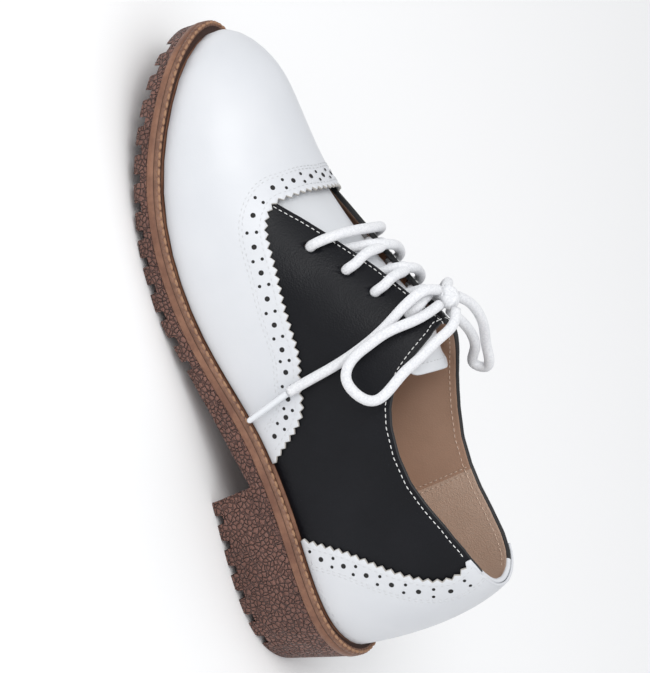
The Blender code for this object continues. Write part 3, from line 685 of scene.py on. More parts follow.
# a short thread lying along X, sunk at its ends
def stitchItem(length, width, height):
    points, faces, sides = [], [], 6
    for x, r in ((-0.5, 0.25), (-0.36, 0.85), (0.0, 1.0), (0.36, 0.85), (0.5, 0.25)):
        lift = height - 0.22 * abs(2 * x) ** 3
        for j in range(sides):
            a = 2 * math.pi * j / sides
            points.append((x * length, math.cos(a) * width / 2 * r,
                           lift + math.sin(a) * width / 2 * r))
    faces = grid([[i * sides + j % sides for j in range(sides + 1)] for i in range(5)])
    faces += [list(range(sides))[::-1], list(range(4 * sides, 5 * sides))]
    return itemObject("stitch_item", points, faces)


# a punched hole: a dark cup whose rim rolls in from the leather; its dark colour is painted shade
# standing in for the hole's shadowed inside
def holeItem(radius):
    points, faces, sides = [], [], 14
    for r, z in ((1.0, 0.0), (1.0, 0.06), (0.86, 0.05), (0.0, 0.03)):
        for j in range(sides if r else 1):
            a = 2 * math.pi * j / sides
            points.append((radius * r * math.cos(a), radius * r * math.sin(a), z))
    faces = grid([[i * sides + j % sides for j in range(sides + 1)] for i in range(3)])
    faces += [[2 * sides + j, 2 * sides + (j + 1) % sides, 3 * sides] for j in range(sides)]
    faces.append(list(range(sides))[::-1])
    return itemObject("hole_item", points, faces)


def gather(store):
    return [np.concatenate([part[k] for part in store]) for k in range(3)]


# even steps along a dense line: the point before each step and the share of the way to the next
def evenly(line, pitch, start):
    at = runOf(line)
    count = max(int((at[-1] - start) / pitch), 1)
    index = np.interp(start + pitch * np.arange(count + 1), at, np.arange(len(line)))
    index = index[index < len(line) - 1]
    whole = index.astype(int)
    return whole, (index - whole)[:, None]


# places, outward ways and directions of stitches along a dense line of the surface
def seam(surface, s, v, side, pitch, height, keep=None):
    line = skin(surface, s, v, side, height)
    whole, share = evenly(line, pitch, pitch / 2)
    places = line[whole] * (1 - share) + line[whole + 1] * share
    alongs = line[whole + 1] - line[whole]
    ups = normals(surface, s, v, side)[whole]
    ok = np.linalg.norm(alongs, axis=1) > 1e-6
    if keep is not None:
        ok &= keep[whole]
    return places[ok], ups[ok], alongs[ok]


cameraLook = dict(place=(0.00899, 1.1022, 0.6241), azimuth=-90.631, fall=27.454, roll=77.606,
                  lens=162.25)
lightLook = dict(sky=(0.97, 0.98, 1.0, 1), skyStrength=0.66, target=(0, 0, 0.05), lamps=[
    ("key", (0.5, 1.0, 1.2), (0.9, 0.9), 11), ("fill", (-0.9, 0.9, 0.9), (1.0, 1.0), 2.5),
    ("top", (0.3, 0.35, 1.5), (1.2, 1.0), 3)])


def axesMatrix(right, top, back, place):
    rows = [[float(axis[i]) for axis in (right, top, back, place)] for i in range(3)]
    return Matrix(rows + [[0, 0, 0, 1]])


def aimCamera(look):
    a, e, r = (math.radians(look[k]) for k in ("azimuth", "fall", "roll"))
    forward = np.array([math.cos(a) * math.cos(e), math.sin(a) * math.cos(e), -math.sin(e)])
    level = np.cross(forward, [0, 0, 1])
    level /= np.linalg.norm(level)
    rise = np.cross(level, forward)
    right = math.cos(r) * level + math.sin(r) * rise
    top = np.cross(right, forward)
    data = bpy.data.cameras.new("camera")
    data.lens, data.sensor_width, data.clip_start, data.clip_end = look["lens"], 36.0, 0.05, 20.0
    camera = addObject("camera", data)
    camera.matrix_world = axesMatrix(right, top, -forward, look["place"])
    bpy.context.scene.camera = camera


def addFloor():
    mesh = bpy.data.meshes.new("floor")
    mesh.from_pydata([(-3, -3, 0), (3, -3, 0), (3, 3, 0), (-3, 3, 0)], [], [(0, 1, 2, 3)])
    floor = addObject("floor", mesh)
    look = Shader("floor_paper", (0.97, 0.97, 0.97), 0.9)
    look.surface.inputs["Specular IOR Level"].default_value = 0.1
    mesh.materials.append(look.material)


def addLight(name, place, size, power):
    data = bpy.data.lights.new(name, "AREA")
    data.shape, data.size, data.size_y = "RECTANGLE", size[0], size[1]
    data.energy = power
    light = addObject(name, data)
    back = np.array(place, float) - np.array(lightLook["target"], float)
    back /= np.linalg.norm(back)
    right = np.cross([0, 0, 1], back)
    right /= np.linalg.norm(right)
    top = np.cross(back, right)
    light.matrix_world = axesMatrix(right, top, back, place)


def lightScene():
    world = bpy.data.worlds.new("world")
    bpy.context.scene.world = world
    world.use_nodes = True
    background = world.node_tree.nodes["Background"]
    background.inputs["Color"].default_value = lightLook["sky"]
    background.inputs["Strength"].default_value = lightLook["skyStrength"]
    bpy.context.scene.view_settings.view_transform = "Standard"
    for lamp in lightLook["lamps"]:
        addLight(*lamp)


aimCamera(cameraLook)
addFloor()
lightScene()
print("stage ready")


laceLook = dict(radius=2.15, sides=14, aglet=1.4, agletSides=18, knotCentre=(137.3, 3.0, 109.2),
                knotSize=(6.0, 5.2, 4.2), core=0.86, wrapRadius=1.5,
                wraps=((0.25, 1.0), (-0.7, 0.95), (1.15, 0.92)))
loopLateral = [
    (135.2, 7.7, 106.9), (132.6, 15.4, 103.6), (130.8, 23.6, 99.2), (129.2, 30.4, 92.8),
    (125.4, 35.4, 84.9), (121.0, 38.8, 78.2), (115.6, 41.2, 75.8), (109.0, 42.0, 78.3),
    (104.0, 40.6, 85.4), (107.6, 37.0, 92.2), (112.3, 32.6, 97.0), (116.4, 26.0, 102.0),
    (122.0, 16.8, 107.6), (126.6, 9.4, 111.8), (131.7, 5.0, 112.0),
]
loopMedial = [
    (136.7, -2.4, 110.9), (133.0, -10.0, 112.0), (123.2, -20.5, 110.8), (113.5, -28.5, 106.4),
    (105.6, -33.5, 101.4), (107.6, -32.6, 97.6), (113.4, -27.4, 101.2), (120.2, -20.0, 105.0),
    (127.4, -7.0, 107.2), (132.0, -0.4, 106.9),
]
endLateral = [
    (141.0, 7.3, 107.4), (142.0, 14.0, 105.6), (138.4, 21.0, 99.0), (131.8, 25.6, 90.6),
    (125.4, 31.2, 80.4), (120.2, 35.9, 67.9), (116.2, 38.8, 54.6), (114.2, 40.0, 48.6),
]
endMedial = [
    (140.8, -1.1, 106.9), (143.0, -7.6, 105.4), (142.0, -16.0, 99.8), (138.0, -24.0, 91.4),
    (133.0, -31.5, 80.0), (127.4, -37.0, 67.6), (122.6, -40.0, 56.0),
]
agletTips = {"lateral": (106.1, 42.5, 28.8), "medial": (118.0, -41.0, 36.2)}


def agletPiece(name, end, tip):
    end, tip = np.array(end), np.array(tip)
    way = (tip - end) / np.linalg.norm(tip - end)
    at = np.array([0.5, 1.0, 2.0, 8, 14, 19, 20.8, 21.5])
    points, faces = tube([end + way * d for d in at], laceLook["aglet"], laceLook["agletSides"],
                         taper=[0.9, 1.0, 1.0, 0.97, 0.95, 0.93, 0.86, 0.6])
    return addPiece(name, makeMesh(name, points, faces), [agletFilm], [name])


def cordPiece(name, route, count):
    path = smoothPath(route, count)
    points, faces = tube(path, laceLook["radius"], laceLook["sides"])
    obj = addPiece(name, makeMesh(name, points, faces), [laceBraid], [name])
    world = (path + shift) * mm
    float(runOf(world)[-1])
    return obj


# a wrapped knot: a squashed core with three turns of lace round it
def knotPiece():
    look = laceLook
    centre, size = np.array(look["knotCentre"]), np.array(look["knotSize"])
    points, faces = [], []
    rings, sides = 14, 22
    for j in range(1, rings):
        tilt = math.pi * j / rings
        for k in range(sides):
            a = 2 * math.pi * k / sides
            unit = [math.sin(tilt) * math.cos(a), math.sin(tilt) * math.sin(a), math.cos(tilt)]
            points.append(centre + look["core"] * size * np.array(unit))
    faces = grid([[i * sides + j % sides for j in range(sides + 1)] for i in range(rings - 1)])
    faces += [list(range(sides)), list(range(len(points) - sides, len(points)))[::-1]]
    count = len(points)
    for lean, reach in look["wraps"]:
        turns = []
        for k in range(28):
            a = 2 * math.pi * k / 28
            wide = 3.9 * math.cos(a)
            turns.append(centre + np.array([wide * math.cos(lean) * reach,
                                            wide * math.sin(lean) * reach * 0.9,
                                            3.0 * math.sin(a) * reach]))
        turns.append(turns[0])
        ringPoints, ringFaces = tube(turns, look["wrapRadius"], 10)
        faces += [[i + count for i in f] for f in ringFaces]
        points = list(points) + list(ringPoints)
        count = len(points)
    addPiece("lace_knot", makeMesh("lace_knot", points, faces), [laceBraid], ["lace_knot"])


agletLateral = agletPiece("aglet_lateral", endLateral[-1], agletTips["lateral"])
agletMedial = agletPiece("aglet_medial", endMedial[-1], agletTips["medial"])
knotPiece()
cordPiece("lace_loop_lateral", loopLateral, 90)
cordPiece("lace_loop_medial", loopMedial, 80)
cordPiece("lace_end_lateral", endLateral, 60)
cordPiece("lace_end_medial", endMedial, 50)
print("bow ready")


upperLook = dict(out=-0.8, lining=-3.0, rows=30, extra=12, gripX=66.0, gripLean=9.0, sinkFrom=205,
                 sink=1.1, heelRim=(28, 80), heelSkin=(27, 98.5),
                 eyelets=(170.4, 157.9, 146.4, 134.2), eyelet=2.5, eyeletInset=9.5)


def eyeletUp(x, side):
    edge = straight(facingTable, "lateral" if side > 0 else "medial", x)
    return edge + side * upperLook["eyeletInset"]


def lacedStrand(name, route, replaces):
    path = smoothPath(route, 60)
    points, faces = tube(path, laceLook["radius"], laceLook["sides"])
    return addPiece(name, makeMesh(name, points, faces), [laceBraid], replaces)


def barRoute():
    x = upperLook["eyelets"][0]
    lateral, medial = eyeletUp(x, 1), eyeletUp(x, -1)
    middle = (lateral + medial) / 2
    places = [(-0.2, lateral - 0.3, -4.2), (0, lateral, -1.2), (0.3, lateral - 1.9, 1.3),
              (0.8, lateral - 6.5, 2.8), (1.6, middle + 7, 2.9), (1.8, middle, 2.8),
              (1.6, middle - 7, 2.9), (0.8, medial + 6.5, 2.8), (0.3, medial + 1.9, 1.3),
              (0, medial, -1.2), (-0.2, medial + 0.3, -4.2)]
    return [overLast(x + more, y, height) for more, y, height in places]


def crossRoute(lower, higher, side, lift):
    near, far = ("lateral", "medial") if side > 0 else ("medial", "lateral")
    startX, centreX = lower - 2.6, (lower + higher) / 2 - 0.3
    startY = straight(facingTable, near, startX) - side * 3.9
    middle = (straight(facingTable, near, centreX) + straight(facingTable, far, centreX)) / 2
    endY = straight(facingTable, far, higher) - side * upperLook["eyeletInset"]
    overY = straight(facingTable, far, higher + 2.2) - side * 2.5
    hiddenY = straight(facingTable, near, lower - 0.5) + side * 3.0
    places = [(lower - 0.6, hiddenY, -4.6), (startX + 1.0, startY + side * 2.5, -4.3),
              (startX, startY, -2.4), ((startX + centreX) / 2, (startY + middle) / 2, 1.0),
              (centreX, middle, 2.2 + lift), (higher + 2.6, overY, 2.7),
              (higher + 0.5, endY + side * 2.2, 1.5), (higher, endY, -1.2),
              (higher - 0.2, endY - side * 0.3, -4.0)]
    return [overLast(*place) for place in places]


lacedStrand("lace_bar", barRoute(), ["lace_bar"])
for crossName, lower, higher in (("low", 0, 1), ("mid", 1, 2), ("top", 2, 3)):
    for side, label in ((1, "a"), (-1, "b")):
        route = crossRoute(upperLook["eyelets"][lower], upperLook["eyelets"][higher], side, 0.5 * side)
        lacedStrand(f"lace_cross_{crossName}_{label}", route,
                    ["lace_cross_" + crossName] if side > 0 else [])
print("lacing ready")


toeLook = dict(x=243, along=15, across=10, fromZ=38, fade=8, passes=24, share=0.6)


# blends the lines that meet at the front of the crest into one soft toe
def easeToe(mesh):
    co = np.empty(len(mesh.vertices) * 3)
    mesh.vertices.foreach_get("co", co)
    co = co.reshape(-1, 3) / mm - shift
    edges = np.empty(len(mesh.edges) * 2, int)
    mesh.edges.foreach_get("vertices", edges)
    a, b = edges.reshape(-1, 2).T
    count = np.bincount(a, minlength=len(co)) + np.bincount(b, minlength=len(co))
    look = toeLook
    weight = np.exp(-((co[:, 0] - look["x"]) / look["along"]) ** 2 - (co[:, 1] / look["across"]) ** 2)
    weight *= np.clip((co[:, 2] - look["fromZ"]) / look["fade"], 0, 1)
    for _ in range(look["passes"]):
        total = np.zeros_like(co)
        np.add.at(total, a, co[b])
        np.add.at(total, b, co[a])
        co += (total / count[:, None] - co) * weight[:, None] * look["share"]
    mesh.vertices.foreach_set("co", ((co + shift) * mm).ravel())
    mesh.update()


# cuts the eight eyelets through leather and lining
def punched(mesh):
    points, faces, sides = [], [], 20
    for x in upperLook["eyelets"]:
        for side in (1, -1):
            place = eyeletUp(x, side)
            axis = [overLast(x, place, depth) for depth in (2.0, -6.0)]
            ringPoints, ringFaces = tube(axis, upperLook["eyelet"], sides)
            faces += [[i + len(points) for i in f] for f in ringFaces]
            points += ringPoints
    cutter = addObject("punch", makeMesh("punch", points, faces))
    cutter.data.materials.append(edgeBlack)
    upper = addObject("punched", mesh)
    modifier = upper.modifiers.new("eyelets", "BOOLEAN")
    modifier.operation, modifier.solver, modifier.object = "DIFFERENCE", "EXACT", cutter
    modifier.material_mode = "TRANSFER"
    bpy.context.view_layer.update()
    graph = bpy.context.evaluated_depsgraph_get()
    result = bpy.data.meshes.new_from_object(upper.evaluated_get(graph))
    print("eyelets cut:", len(mesh.polygons), "to", len(result.polygons), "faces")
    for obj in (cutter, upper):
        bpy.data.objects.remove(obj)
    return result


# the columns lean back towards the sole round the heel grip's seam
def gripSlant(x, share):
    lean = upperLook["gripLean"] * np.exp(-((np.asarray(x, float) - upperLook["gripX"]) / 12) ** 2)
    return x - lean * (1 - np.asarray(share, float))


def upperPiece():
    look = upperLook
    rows, extra = look["rows"], look["extra"]
    front = stationX(np.linspace(float(station(throatX)), 1.0, 26))[1:]
    xs = np.concatenate([stationX(np.linspace(0, float(station(20.0)), 10))[:-1],
                         np.linspace(20, 66, 22)[:-1], np.linspace(66, 117, 24)[:-1],
                         np.linspace(117, 133, 14)[:-1], np.linspace(133, throatX, 32), front])
    throat = len(xs) - len(front) - 1
    outer, inner, faces, column = [], [], [], []
    for side in (1, -1):
        lines = []
        for k, x in enumerate(xs):
            s = float(station(x)) if k < len(xs) - 1 else 1.0
            top = float(topUp(s if x < throatX else float(station(throatX)),
                              side if k < len(xs) - 1 else 1))
            sink = look["sink"] * np.clip((x - look["sinkFrom"]) / 12, 0, 1)  # out of the vamp's way
            out = look["out"] - sink
            v = top * (1 - (1 - np.linspace(0, 1, rows + 1)) ** 1.15)
            v[-1] = top
            places = gripSlant(x, v / top) if k < len(xs) - 1 else toeX + 0 * v
            if k >= throat:
                more = top + (1 - top) * np.linspace(0, 1, extra + 1)[1:]
                v = np.concatenate([v, more])
                places = np.concatenate([places, x + 0 * more])
            start = len(outer)
            outer += skin(onLast, station(places), v, side, out).tolist()
            inner += skin(onLast, station(places), v, side, look["lining"]).tolist()
            column += [x] * len(v)
            lines.append(list(range(start, start + len(v))))
        faces += grid([line[:rows + 1] for line in lines[:throat + 1]]) + grid(lines[throat:])
    outer, inner = np.array(outer), np.array(inner)
    order, faces = welded(outer, faces, 3)
    outer, inner, column = outer[order], inner[order], np.array(column)[order]
    points, closed, rimStart = thicken(outer, inner, faces, 0.55)
    mesh = makeMesh("upper", points, closed)
    easeToe(mesh)
    for k, polygon in enumerate(mesh.polygons):
        x, z = polygon.center.x / mm - shift[0], polygon.center.z / mm
        if len(faces) <= k < 2 * len(faces):
            polygon.material_index = 4 if column[faces[k - len(faces)]].mean() < look["gripX"] else 1
        elif k < len(faces) and x < look["heelSkin"][0] and z > look["heelSkin"][1]:
            polygon.material_index = 3
        elif k >= rimStart:
            polygon.material_index = 3 if x < look["heelRim"][0] and z > look["heelRim"][1] else 2
    for material in (blackLeather, liningLeather, edgeBlack, whiteLeather, gripLeather):
        mesh.materials.append(material)
    return addPiece("upper", punched(mesh), [], ["upper"])


upperPiece()
print("upper ready")


vampEdge = ("up", "x"), [
    (0.0, 86.8), (0.083, 94.7), (0.159, 102.0), (0.189, 106.5), (0.238, 117.9), (0.282, 127.8),
    (0.315, 139.0), (0.353, 151.0), (0.402, 164.2), (0.443, 176.5), (0.500, 185.7), (0.566, 190.8),
    (0.664, 193.1), (0.784, 195.2), (0.900, 196.4), (1.0, 197.0),
]
foxingEdge = ("up", "x"), [
    (0.0, 54.9), (0.14, 50.9), (0.31, 45.3), (0.46, 37.7), (0.62, 29.4), (0.78, 23.6), (0.92, 24.6),
    (1.0, 28.0),
]
bandLook = dict(out=0.6, under=-0.5, pitch=3.75, tooth=1.55, bigHole=1.08, smallHole=0.7,
                holeLine=5.6, holePitch=10.6, pair=1.9, nearStitch=2.3, farStitch=(9.4, 10.7),
                columns=(1.6, 3.2, 5.0, 7.0, 9.0, 11.5),
                easeFoot=0.12, easeTop=0.05, ridgeFrom=0.72, ridgeOver=0.2, ridgePasses=110,
                cutTop=0.099)


# dense places along an overlay's edge: both sides over the ridge, or one side up to the collar
def edgeLine(edge, whole, count=1600):
    xOf = columns(edge)["x"]
    w = np.linspace(0, 2, count) if whole else np.linspace(0, 1, count)
    v = np.where(w > 1, 2 - w, w)
    side = np.where(w > 1, -1.0, 1.0)
    s = station(xOf(v))
    return s, v, side


# along and across directions at each place of an edge; across points into the overlay
def edgeFrame(surface, s, v, side, forward):
    line = surface(s, v, side)
    along = np.gradient(line, axis=0)
    along /= np.linalg.norm(along, axis=1, keepdims=True)
    n = normals(surface, s, v, side)
    across = np.cross(n, along)
    across /= np.linalg.norm(across, axis=1, keepdims=True)
    if np.median((across * np.array([1.0, 0, 0])).sum(1)) * forward < 0:
        across = -across
    return line, along, across


def sampled(at, values, places):
    if values.ndim == 1:
        return np.interp(places, at, values)
    return np.stack([np.interp(places, at, values[:, k]) for k in range(values.shape[1])], -1)


# gives both halves of the toe's centre line the same places, so that they weld
def meetingLine(v):
    crest = int(np.argmax(v))
    halves = [np.arange(crest, -1, -1), np.arange(crest, len(v))]
    small, large = sorted(halves, key=len)
    v = v.copy()
    v[crest] = 1.0
    v[large] = v[small][np.round(np.linspace(0, len(small) - 1, len(large))).astype(int)]
    return v


# rounds the crest of the last over the vamp; the pinked row moves with the row behind it
def easeRidge(rows, ups):
    for k in range(1, len(rows) - 1):
        weight = np.clip((ups[k] - bandLook["ridgeFrom"]) / bandLook["ridgeOver"], 0, 1)[:, None]
        line = rows[k].copy()
        for _ in range(bandLook["ridgePasses"]):
            spread = line.copy()
            spread[1:-1] = (line[:-2] + line[1:-1] + line[2:]) / 3
            line = line + (spread - line) * weight
        if k == 1:
            rows[0] = rows[0] + (line - rows[1])
        rows[k] = line


# one overlay: pinked rim, a band of even columns, then columns on to the far end of the shoe
def overlay(name, surface, edge, whole, forward, sides, slot, columnsBack):
    look = bandLook
    allOuter, allInner, allFaces = [], [], []
    holes, smallHoles, nearSeam, farSeam = [], [], [], []
    teeth, heelLine = 0, None
    for mirror in sides:
        s, v, side = edgeLine(edge, whole)
        side = side * mirror
        line, along, across = edgeFrame(surface, s, v, side, forward)
        at = runOf(line)
        teeth = teeth or round(at[-1] / look["pitch"])
        samples = np.linspace(0, at[-1], teeth * 6 + 1)
        phase = (samples / at[-1] * teeth) % 1.0
        wave = 1 - 2 * np.abs(phase - 0.5)
        w = np.linspace(0, 2, len(s)) if whole else np.linspace(0, 1, len(s))
        wAt = np.interp(samples, at, w)
        vAt = np.where(wAt > 1, 2 - wAt, wAt)
        sideAt = np.where(wAt > 1, -1.0, 1.0) * mirror
        sAt = station(columns(edge)["x"](vAt))
        acrossAt = sampled(at, across, samples)
        acrossAt /= np.linalg.norm(acrossAt, axis=1, keepdims=True)
        fromTop = 1.0 if whole else (1 - vAt) / look["easeTop"]
        ease = np.clip(np.minimum(vAt / look["easeFoot"], fromTop), 0, 1)
        ease = ease * ease * (3 - 2 * ease)
        steps = [None, *look["columns"]]  # the first is the pinked rim
        rowsS, rowsV, rowsSide = [], [], []
        for d in steps:
            reach = look["tooth"] * (0.5 - wave) if d is None else np.full(len(sAt), d)
            s2, v2, side2 = march(surface, sAt, vAt, sideAt, acrossAt, reach)
            v2 = np.where(side2 * sideAt < 0, v2, vAt + (v2 - vAt) * ease)
            rowsS.append(s2)
            rowsV.append(v2)
            rowsSide.append(side2)
        for q in (1 - np.cos(np.linspace(0, math.pi / 2, columnsBack + 1)[1:])):
            near = rowsS[len(steps) - 1]
            rowsS.append(1 - (1 - near) * (1 - q) if forward > 0 else near * (1 - q))
            rowsV.append(rowsV[len(steps) - 1])
            rowsSide.append(rowsSide[len(steps) - 1])
        rowsS[-1] = np.full(len(sAt), 1.0 if forward > 0 else 0.0)
        if whole:
            rowsV[-1] = meetingLine(rowsV[-1])
        elif heelLine is None:
            heelLine = rowsV[-1]
        else:
            rowsV[-1] = heelLine
        start = sum(len(o) for o in allOuter)
        rows = list(zip(rowsS, rowsV, rowsSide))
        gridOuter = [skin(surface, *row, look["out"]) for row in rows]
        gridInner = [skin(surface, *row, look["under"]) for row in rows]
        if whole:
            easeRidge(gridOuter, rowsV)
            easeRidge(gridInner, rowsV)
        allOuter.append(np.concatenate(gridOuter))
        allInner.append(np.concatenate(gridInner))
        m = len(samples)
        allFaces += grid([[start + r * m + k for k in range(m)] for r in range(len(rowsS))])
        # holes and seams keep their true distance from the edge
        for d, store, first in ((look["holeLine"], holes, look["holePitch"] / 2),
                                (look["holeLine"] - look["pair"], smallHoles, 0.0),
                                (look["holeLine"] + look["pair"], smallHoles, 0.0)):
            s2, v2, side2 = march(surface, s, v, side, across, np.full(len(s), float(d)), 6)
            places = skin(surface, s2, v2, side2, look["out"])
            spots = np.arange(first + 5.0, at[-1] - 3.0, look["holePitch"])
            chosen = np.clip(np.searchsorted(at, spots), 0, len(s) - 1)
            good = (v2[chosen] > 0.03) & ((v2[chosen] < 0.97) | whole)
            ups = normals(surface, s2, v2, side2)
            store.append((places[chosen][good], ups[chosen][good], along[chosen][good]))
        for d, store in [(look["nearStitch"], nearSeam)] + [(f, farSeam) for f in look["farStitch"]]:
            s2, v2, side2 = march(surface, s, v, side, across, np.full(len(s), float(d)), 6)
            keep = (v2 > 0.02) & ((v2 < 0.985) | whole)
            store.append(seam(surface, s2, v2, side2, stitchLook["pitch"], look["out"] - 0.06, keep))
    outer, inner = np.concatenate(allOuter), np.concatenate(allInner)
    order, faces = welded(outer, allFaces, 2)
    points, closed, rimStart = thicken(outer[order], inner[order], faces, 0.5, 2)
    mesh = makeMesh(name, points, closed)
    if whole:
        easeToe(mesh)
    for polygon in mesh.polygons[rimStart:]:
        polygon.material_index = 1 if polygon.center.z < look["cutTop"] else 0
    addPiece(name, mesh, [whiteLeather, cutEdge], [name])

    # perforations are dark cups strewn on the leather, which is not cut: painted shade
    strew(name + "_holes", *gather(holes), holeItem(look["bigHole"]), holeShade, slot)
    strew(name + "_pinholes", *gather(smallHoles), holeItem(look["smallHole"]), holeShade, slot)
    strew(name + "_stitches", *gather(nearSeam + farSeam), stitchItem(*stitchLook["white"]), threadGrey,
          slot)


overlay("vamp", onLast, vampEdge, True, 1, (1,), "white_leather", 22)
print("vamp ready")
overlay("heel_foxing", onQuarter, foxingEdge, False, -1, (1, -1), "white_leather", 16)
print("foxing ready")


# stitches that follow the collar and the facings at one distance from their edge
def collarSeam(name, fromX, toX, inset, depth, inside, item, thread, slot):
    found = []
    for way in (1.0, -1.0):
        s = np.linspace(float(station(fromX)), float(station(toX)), 1500)
        side = np.full(len(s), way)
        top = topUp(s, side)
        line = onLast(s, top, side)
        tangent = np.gradient(line, axis=0)
        tangent /= np.linalg.norm(tangent, axis=1, keepdims=True)
        inward = np.cross(normals(onLast, s, top, side), tangent)
        inward *= np.sign((inward * -partials(onLast, s, top, side)[1]).sum(1))[:, None]
        s2, v2, side2 = march(onLast, s, top, side, inward, np.full(len(s), inset))
        found.append(seam(onLast, s2, v2, side2, stitchLook["pitch"], depth))
    places, ups, alongs = gather(found)
    strew(name, places, -ups if inside else ups, alongs, item, thread, slot=slot)


def gripSeam():
    found = []
    for way in (1.0, -1.0):
        for offset in (-1.4, 1.4):
            share = np.linspace(0.2, 0.985, 400)
            x = gripSlant(upperLook["gripX"], share) + offset
            v = share * float(topUp(float(station(upperLook["gripX"])), way))
            found.append(seam(onLast, station(x), v, np.full(400, way), 2.6,
                              upperLook["lining"] - 0.04))
    places, ups, alongs = gather(found)
    strew("lining_grip_stitches", places, -ups, alongs, stitchItem(*stitchLook["grip"]), threadLining,
          slot="insole_lining")


collarSeam("black_stitches", 30.0, 192.5, stitchLook["inset"], upperLook["out"] - 0.02, False,
           stitchItem(*stitchLook["black"]), threadWhite, "black_leather")
collarSeam("lining_top_stitches", 14.0, 124.0, 3.2, upperLook["lining"] - 0.04, True,
           stitchItem(*stitchLook["lining"]), threadLining, "insole_lining")
gripSeam()
print("seams ready")


tongueTable = ("x", "y", "half", "depth"), [
    (206.0, 1.5, 26.5, 4.0), (198.0, 2.2, 28.0, 4.0), (189.0, 2.6, 27.5, 4.5),
    (179.0, 2.4, 24.5, 5.2), (169.0, 2.6, 22.0, 5.5), (159.0, 2.8, 20.0, 5.5),
    (149.0, 2.9, 18.6, 5.5), (140.0, 2.9, 17.6, 5.5), (132.0, 2.6, 17.0, 5.5),
]
tongueTop = ("x", "y", "half", "z", "drop"), [
    (123.0, 2.2, 17.0, 98.3, 9.0), (116.5, 3.0, 17.0, 98.6, 6.0), (110.0, 3.0, 17.4, 99.4, 4.0),
]
tongueLook = dict(thick=1.7, curl=3.0, dip=1.2, stitchPitch=2.6)


def tonguePiece():
    shares = np.linspace(-1, 1, 33)
    look, rows = tongueLook, tongueTable[1]
    data = np.array(rows)
    fine = np.linspace(0, len(rows) - 1, 50)
    outer, inner = [], []
    for f in fine:
        x, centre, half, depth = (np.interp(f, np.arange(len(rows)), data[:, k]) for k in range(4))
        s = float(station(x))
        for share in shares:
            up, side = upAcross(s, centre + half * share)
            outer.append(skin(onLast, s, up, side, -depth))
            inner.append(skin(onLast, s, up, side, -depth - look["thick"]))
    lower = np.array(outer).reshape(len(fine), len(shares), 3)
    topData = np.array(tongueTop[1])
    previous = lower[-1]
    for k in range(1, 17):
        f = k / 16 * (len(topData))
        line = []
        for j, share in enumerate(shares):
            stations = [previous[j]] + [np.array([x, y + half * share, z - drop * share * share])
                                        for x, y, half, z, drop in topData]
            i = min(int(f), len(stations) - 2)
            place = stations[i] + (stations[i + 1] - stations[i]) * (f - i)
            curl = max(k - 8, 0) / 8
            line.append(place + np.array([look["curl"] * curl * abs(share) ** 12, 0,
                                          -look["dip"] * curl ** 2]))
        outer += line
        inner += [p - np.array([0, 0, look["thick"]]) for p in line]
    m = len(shares)
    faces = grid([[r * m + k for k in range(m)] for r in range(len(outer) // m)])
    points, closed, _ = thicken(outer, inner, faces, 0.8)
    mesh = makeMesh("tongue", points, closed)
    for k, polygon in enumerate(mesh.polygons):
        if len(faces) <= k < 2 * len(faces):
            polygon.material_index = 1
    addPiece("tongue", mesh, [tongueLeather, liningLeather], ["tongue"])
    sheet = np.array(outer).reshape(-1, m, 3)
    rise = np.cross(np.gradient(sheet, axis=1), np.gradient(sheet, axis=0))
    rise *= np.sign(rise[..., 2:3])
    rise /= np.linalg.norm(rise, axis=2, keepdims=True)
    r, j, e = len(sheet) - 4, 2, m - 3
    track = [(k, j) for k in range(40, r)] + [(r, k) for k in range(j, e)]
    track += [(k, e) for k in range(r, 40, -1)]
    line = np.array([sheet[k] for k in track])
    whole, share = evenly(line, look["stitchPitch"], 1.0)
    alongs = line[whole + 1] - line[whole]
    strew("tongue_stitches", line[whole] + alongs * share, np.array([rise[k] for k in track])[whole],
          alongs, stitchItem(*stitchLook["tongue"]), threadGrey, slot="tongue_leather")


tonguePiece()
print("tongue ready")


weltTable = ("x", "lateral", "medial"), [
    (5.6, 5.0, 5.0), (60.0, 4.6, 4.6), (120.0, 4.6, 4.8), (185.0, 4.8, 5.4), (240.0, 5.6, 5.8),
    (264.5, 6.2, 6.2),
]
widthOf = columns(weltTable, station)


def loopPlaces(count):
    t = np.arange(2 * count) / count
    return np.where(t > 1, 2 - t, t), np.where(t > 1, -1.0, 1.0)


# a closed ring round the shoe from a profile of (out, z above the seat) columns
def ringPiece(name, profile, count, materials, replaces, bands):
    s, side = loopPlaces(count)
    points = []
    for out, rise in profile(s, side):
        place = outline(s, side, out)
        points.append(np.stack([place[:, 0], place[:, 1], seatZ(place[:, 0]) + rise], -1))
    n, m = len(s), len(points)
    stacked = np.stack(points, 1).reshape(-1, 3)
    faces, index = [], []
    for k in range(m):
        for i in range(n):
            a, b = i * m + k, i * m + (k + 1) % m
            c, d = (i + 1) % n * m + (k + 1) % m, (i + 1) % n * m + k
            faces.append([a, b, c, d])
            index.append(bands[k])
    mesh = makeMesh(name, stacked, faces)
    mesh.polygons.foreach_set("material_index", index)
    return addPiece(name, mesh, materials, replaces)


weltLook = dict(ribs=250, bottom=-5.6, top=-0.3, inner=8.5, stitchPitch=3.5, stitchLength=3.1)


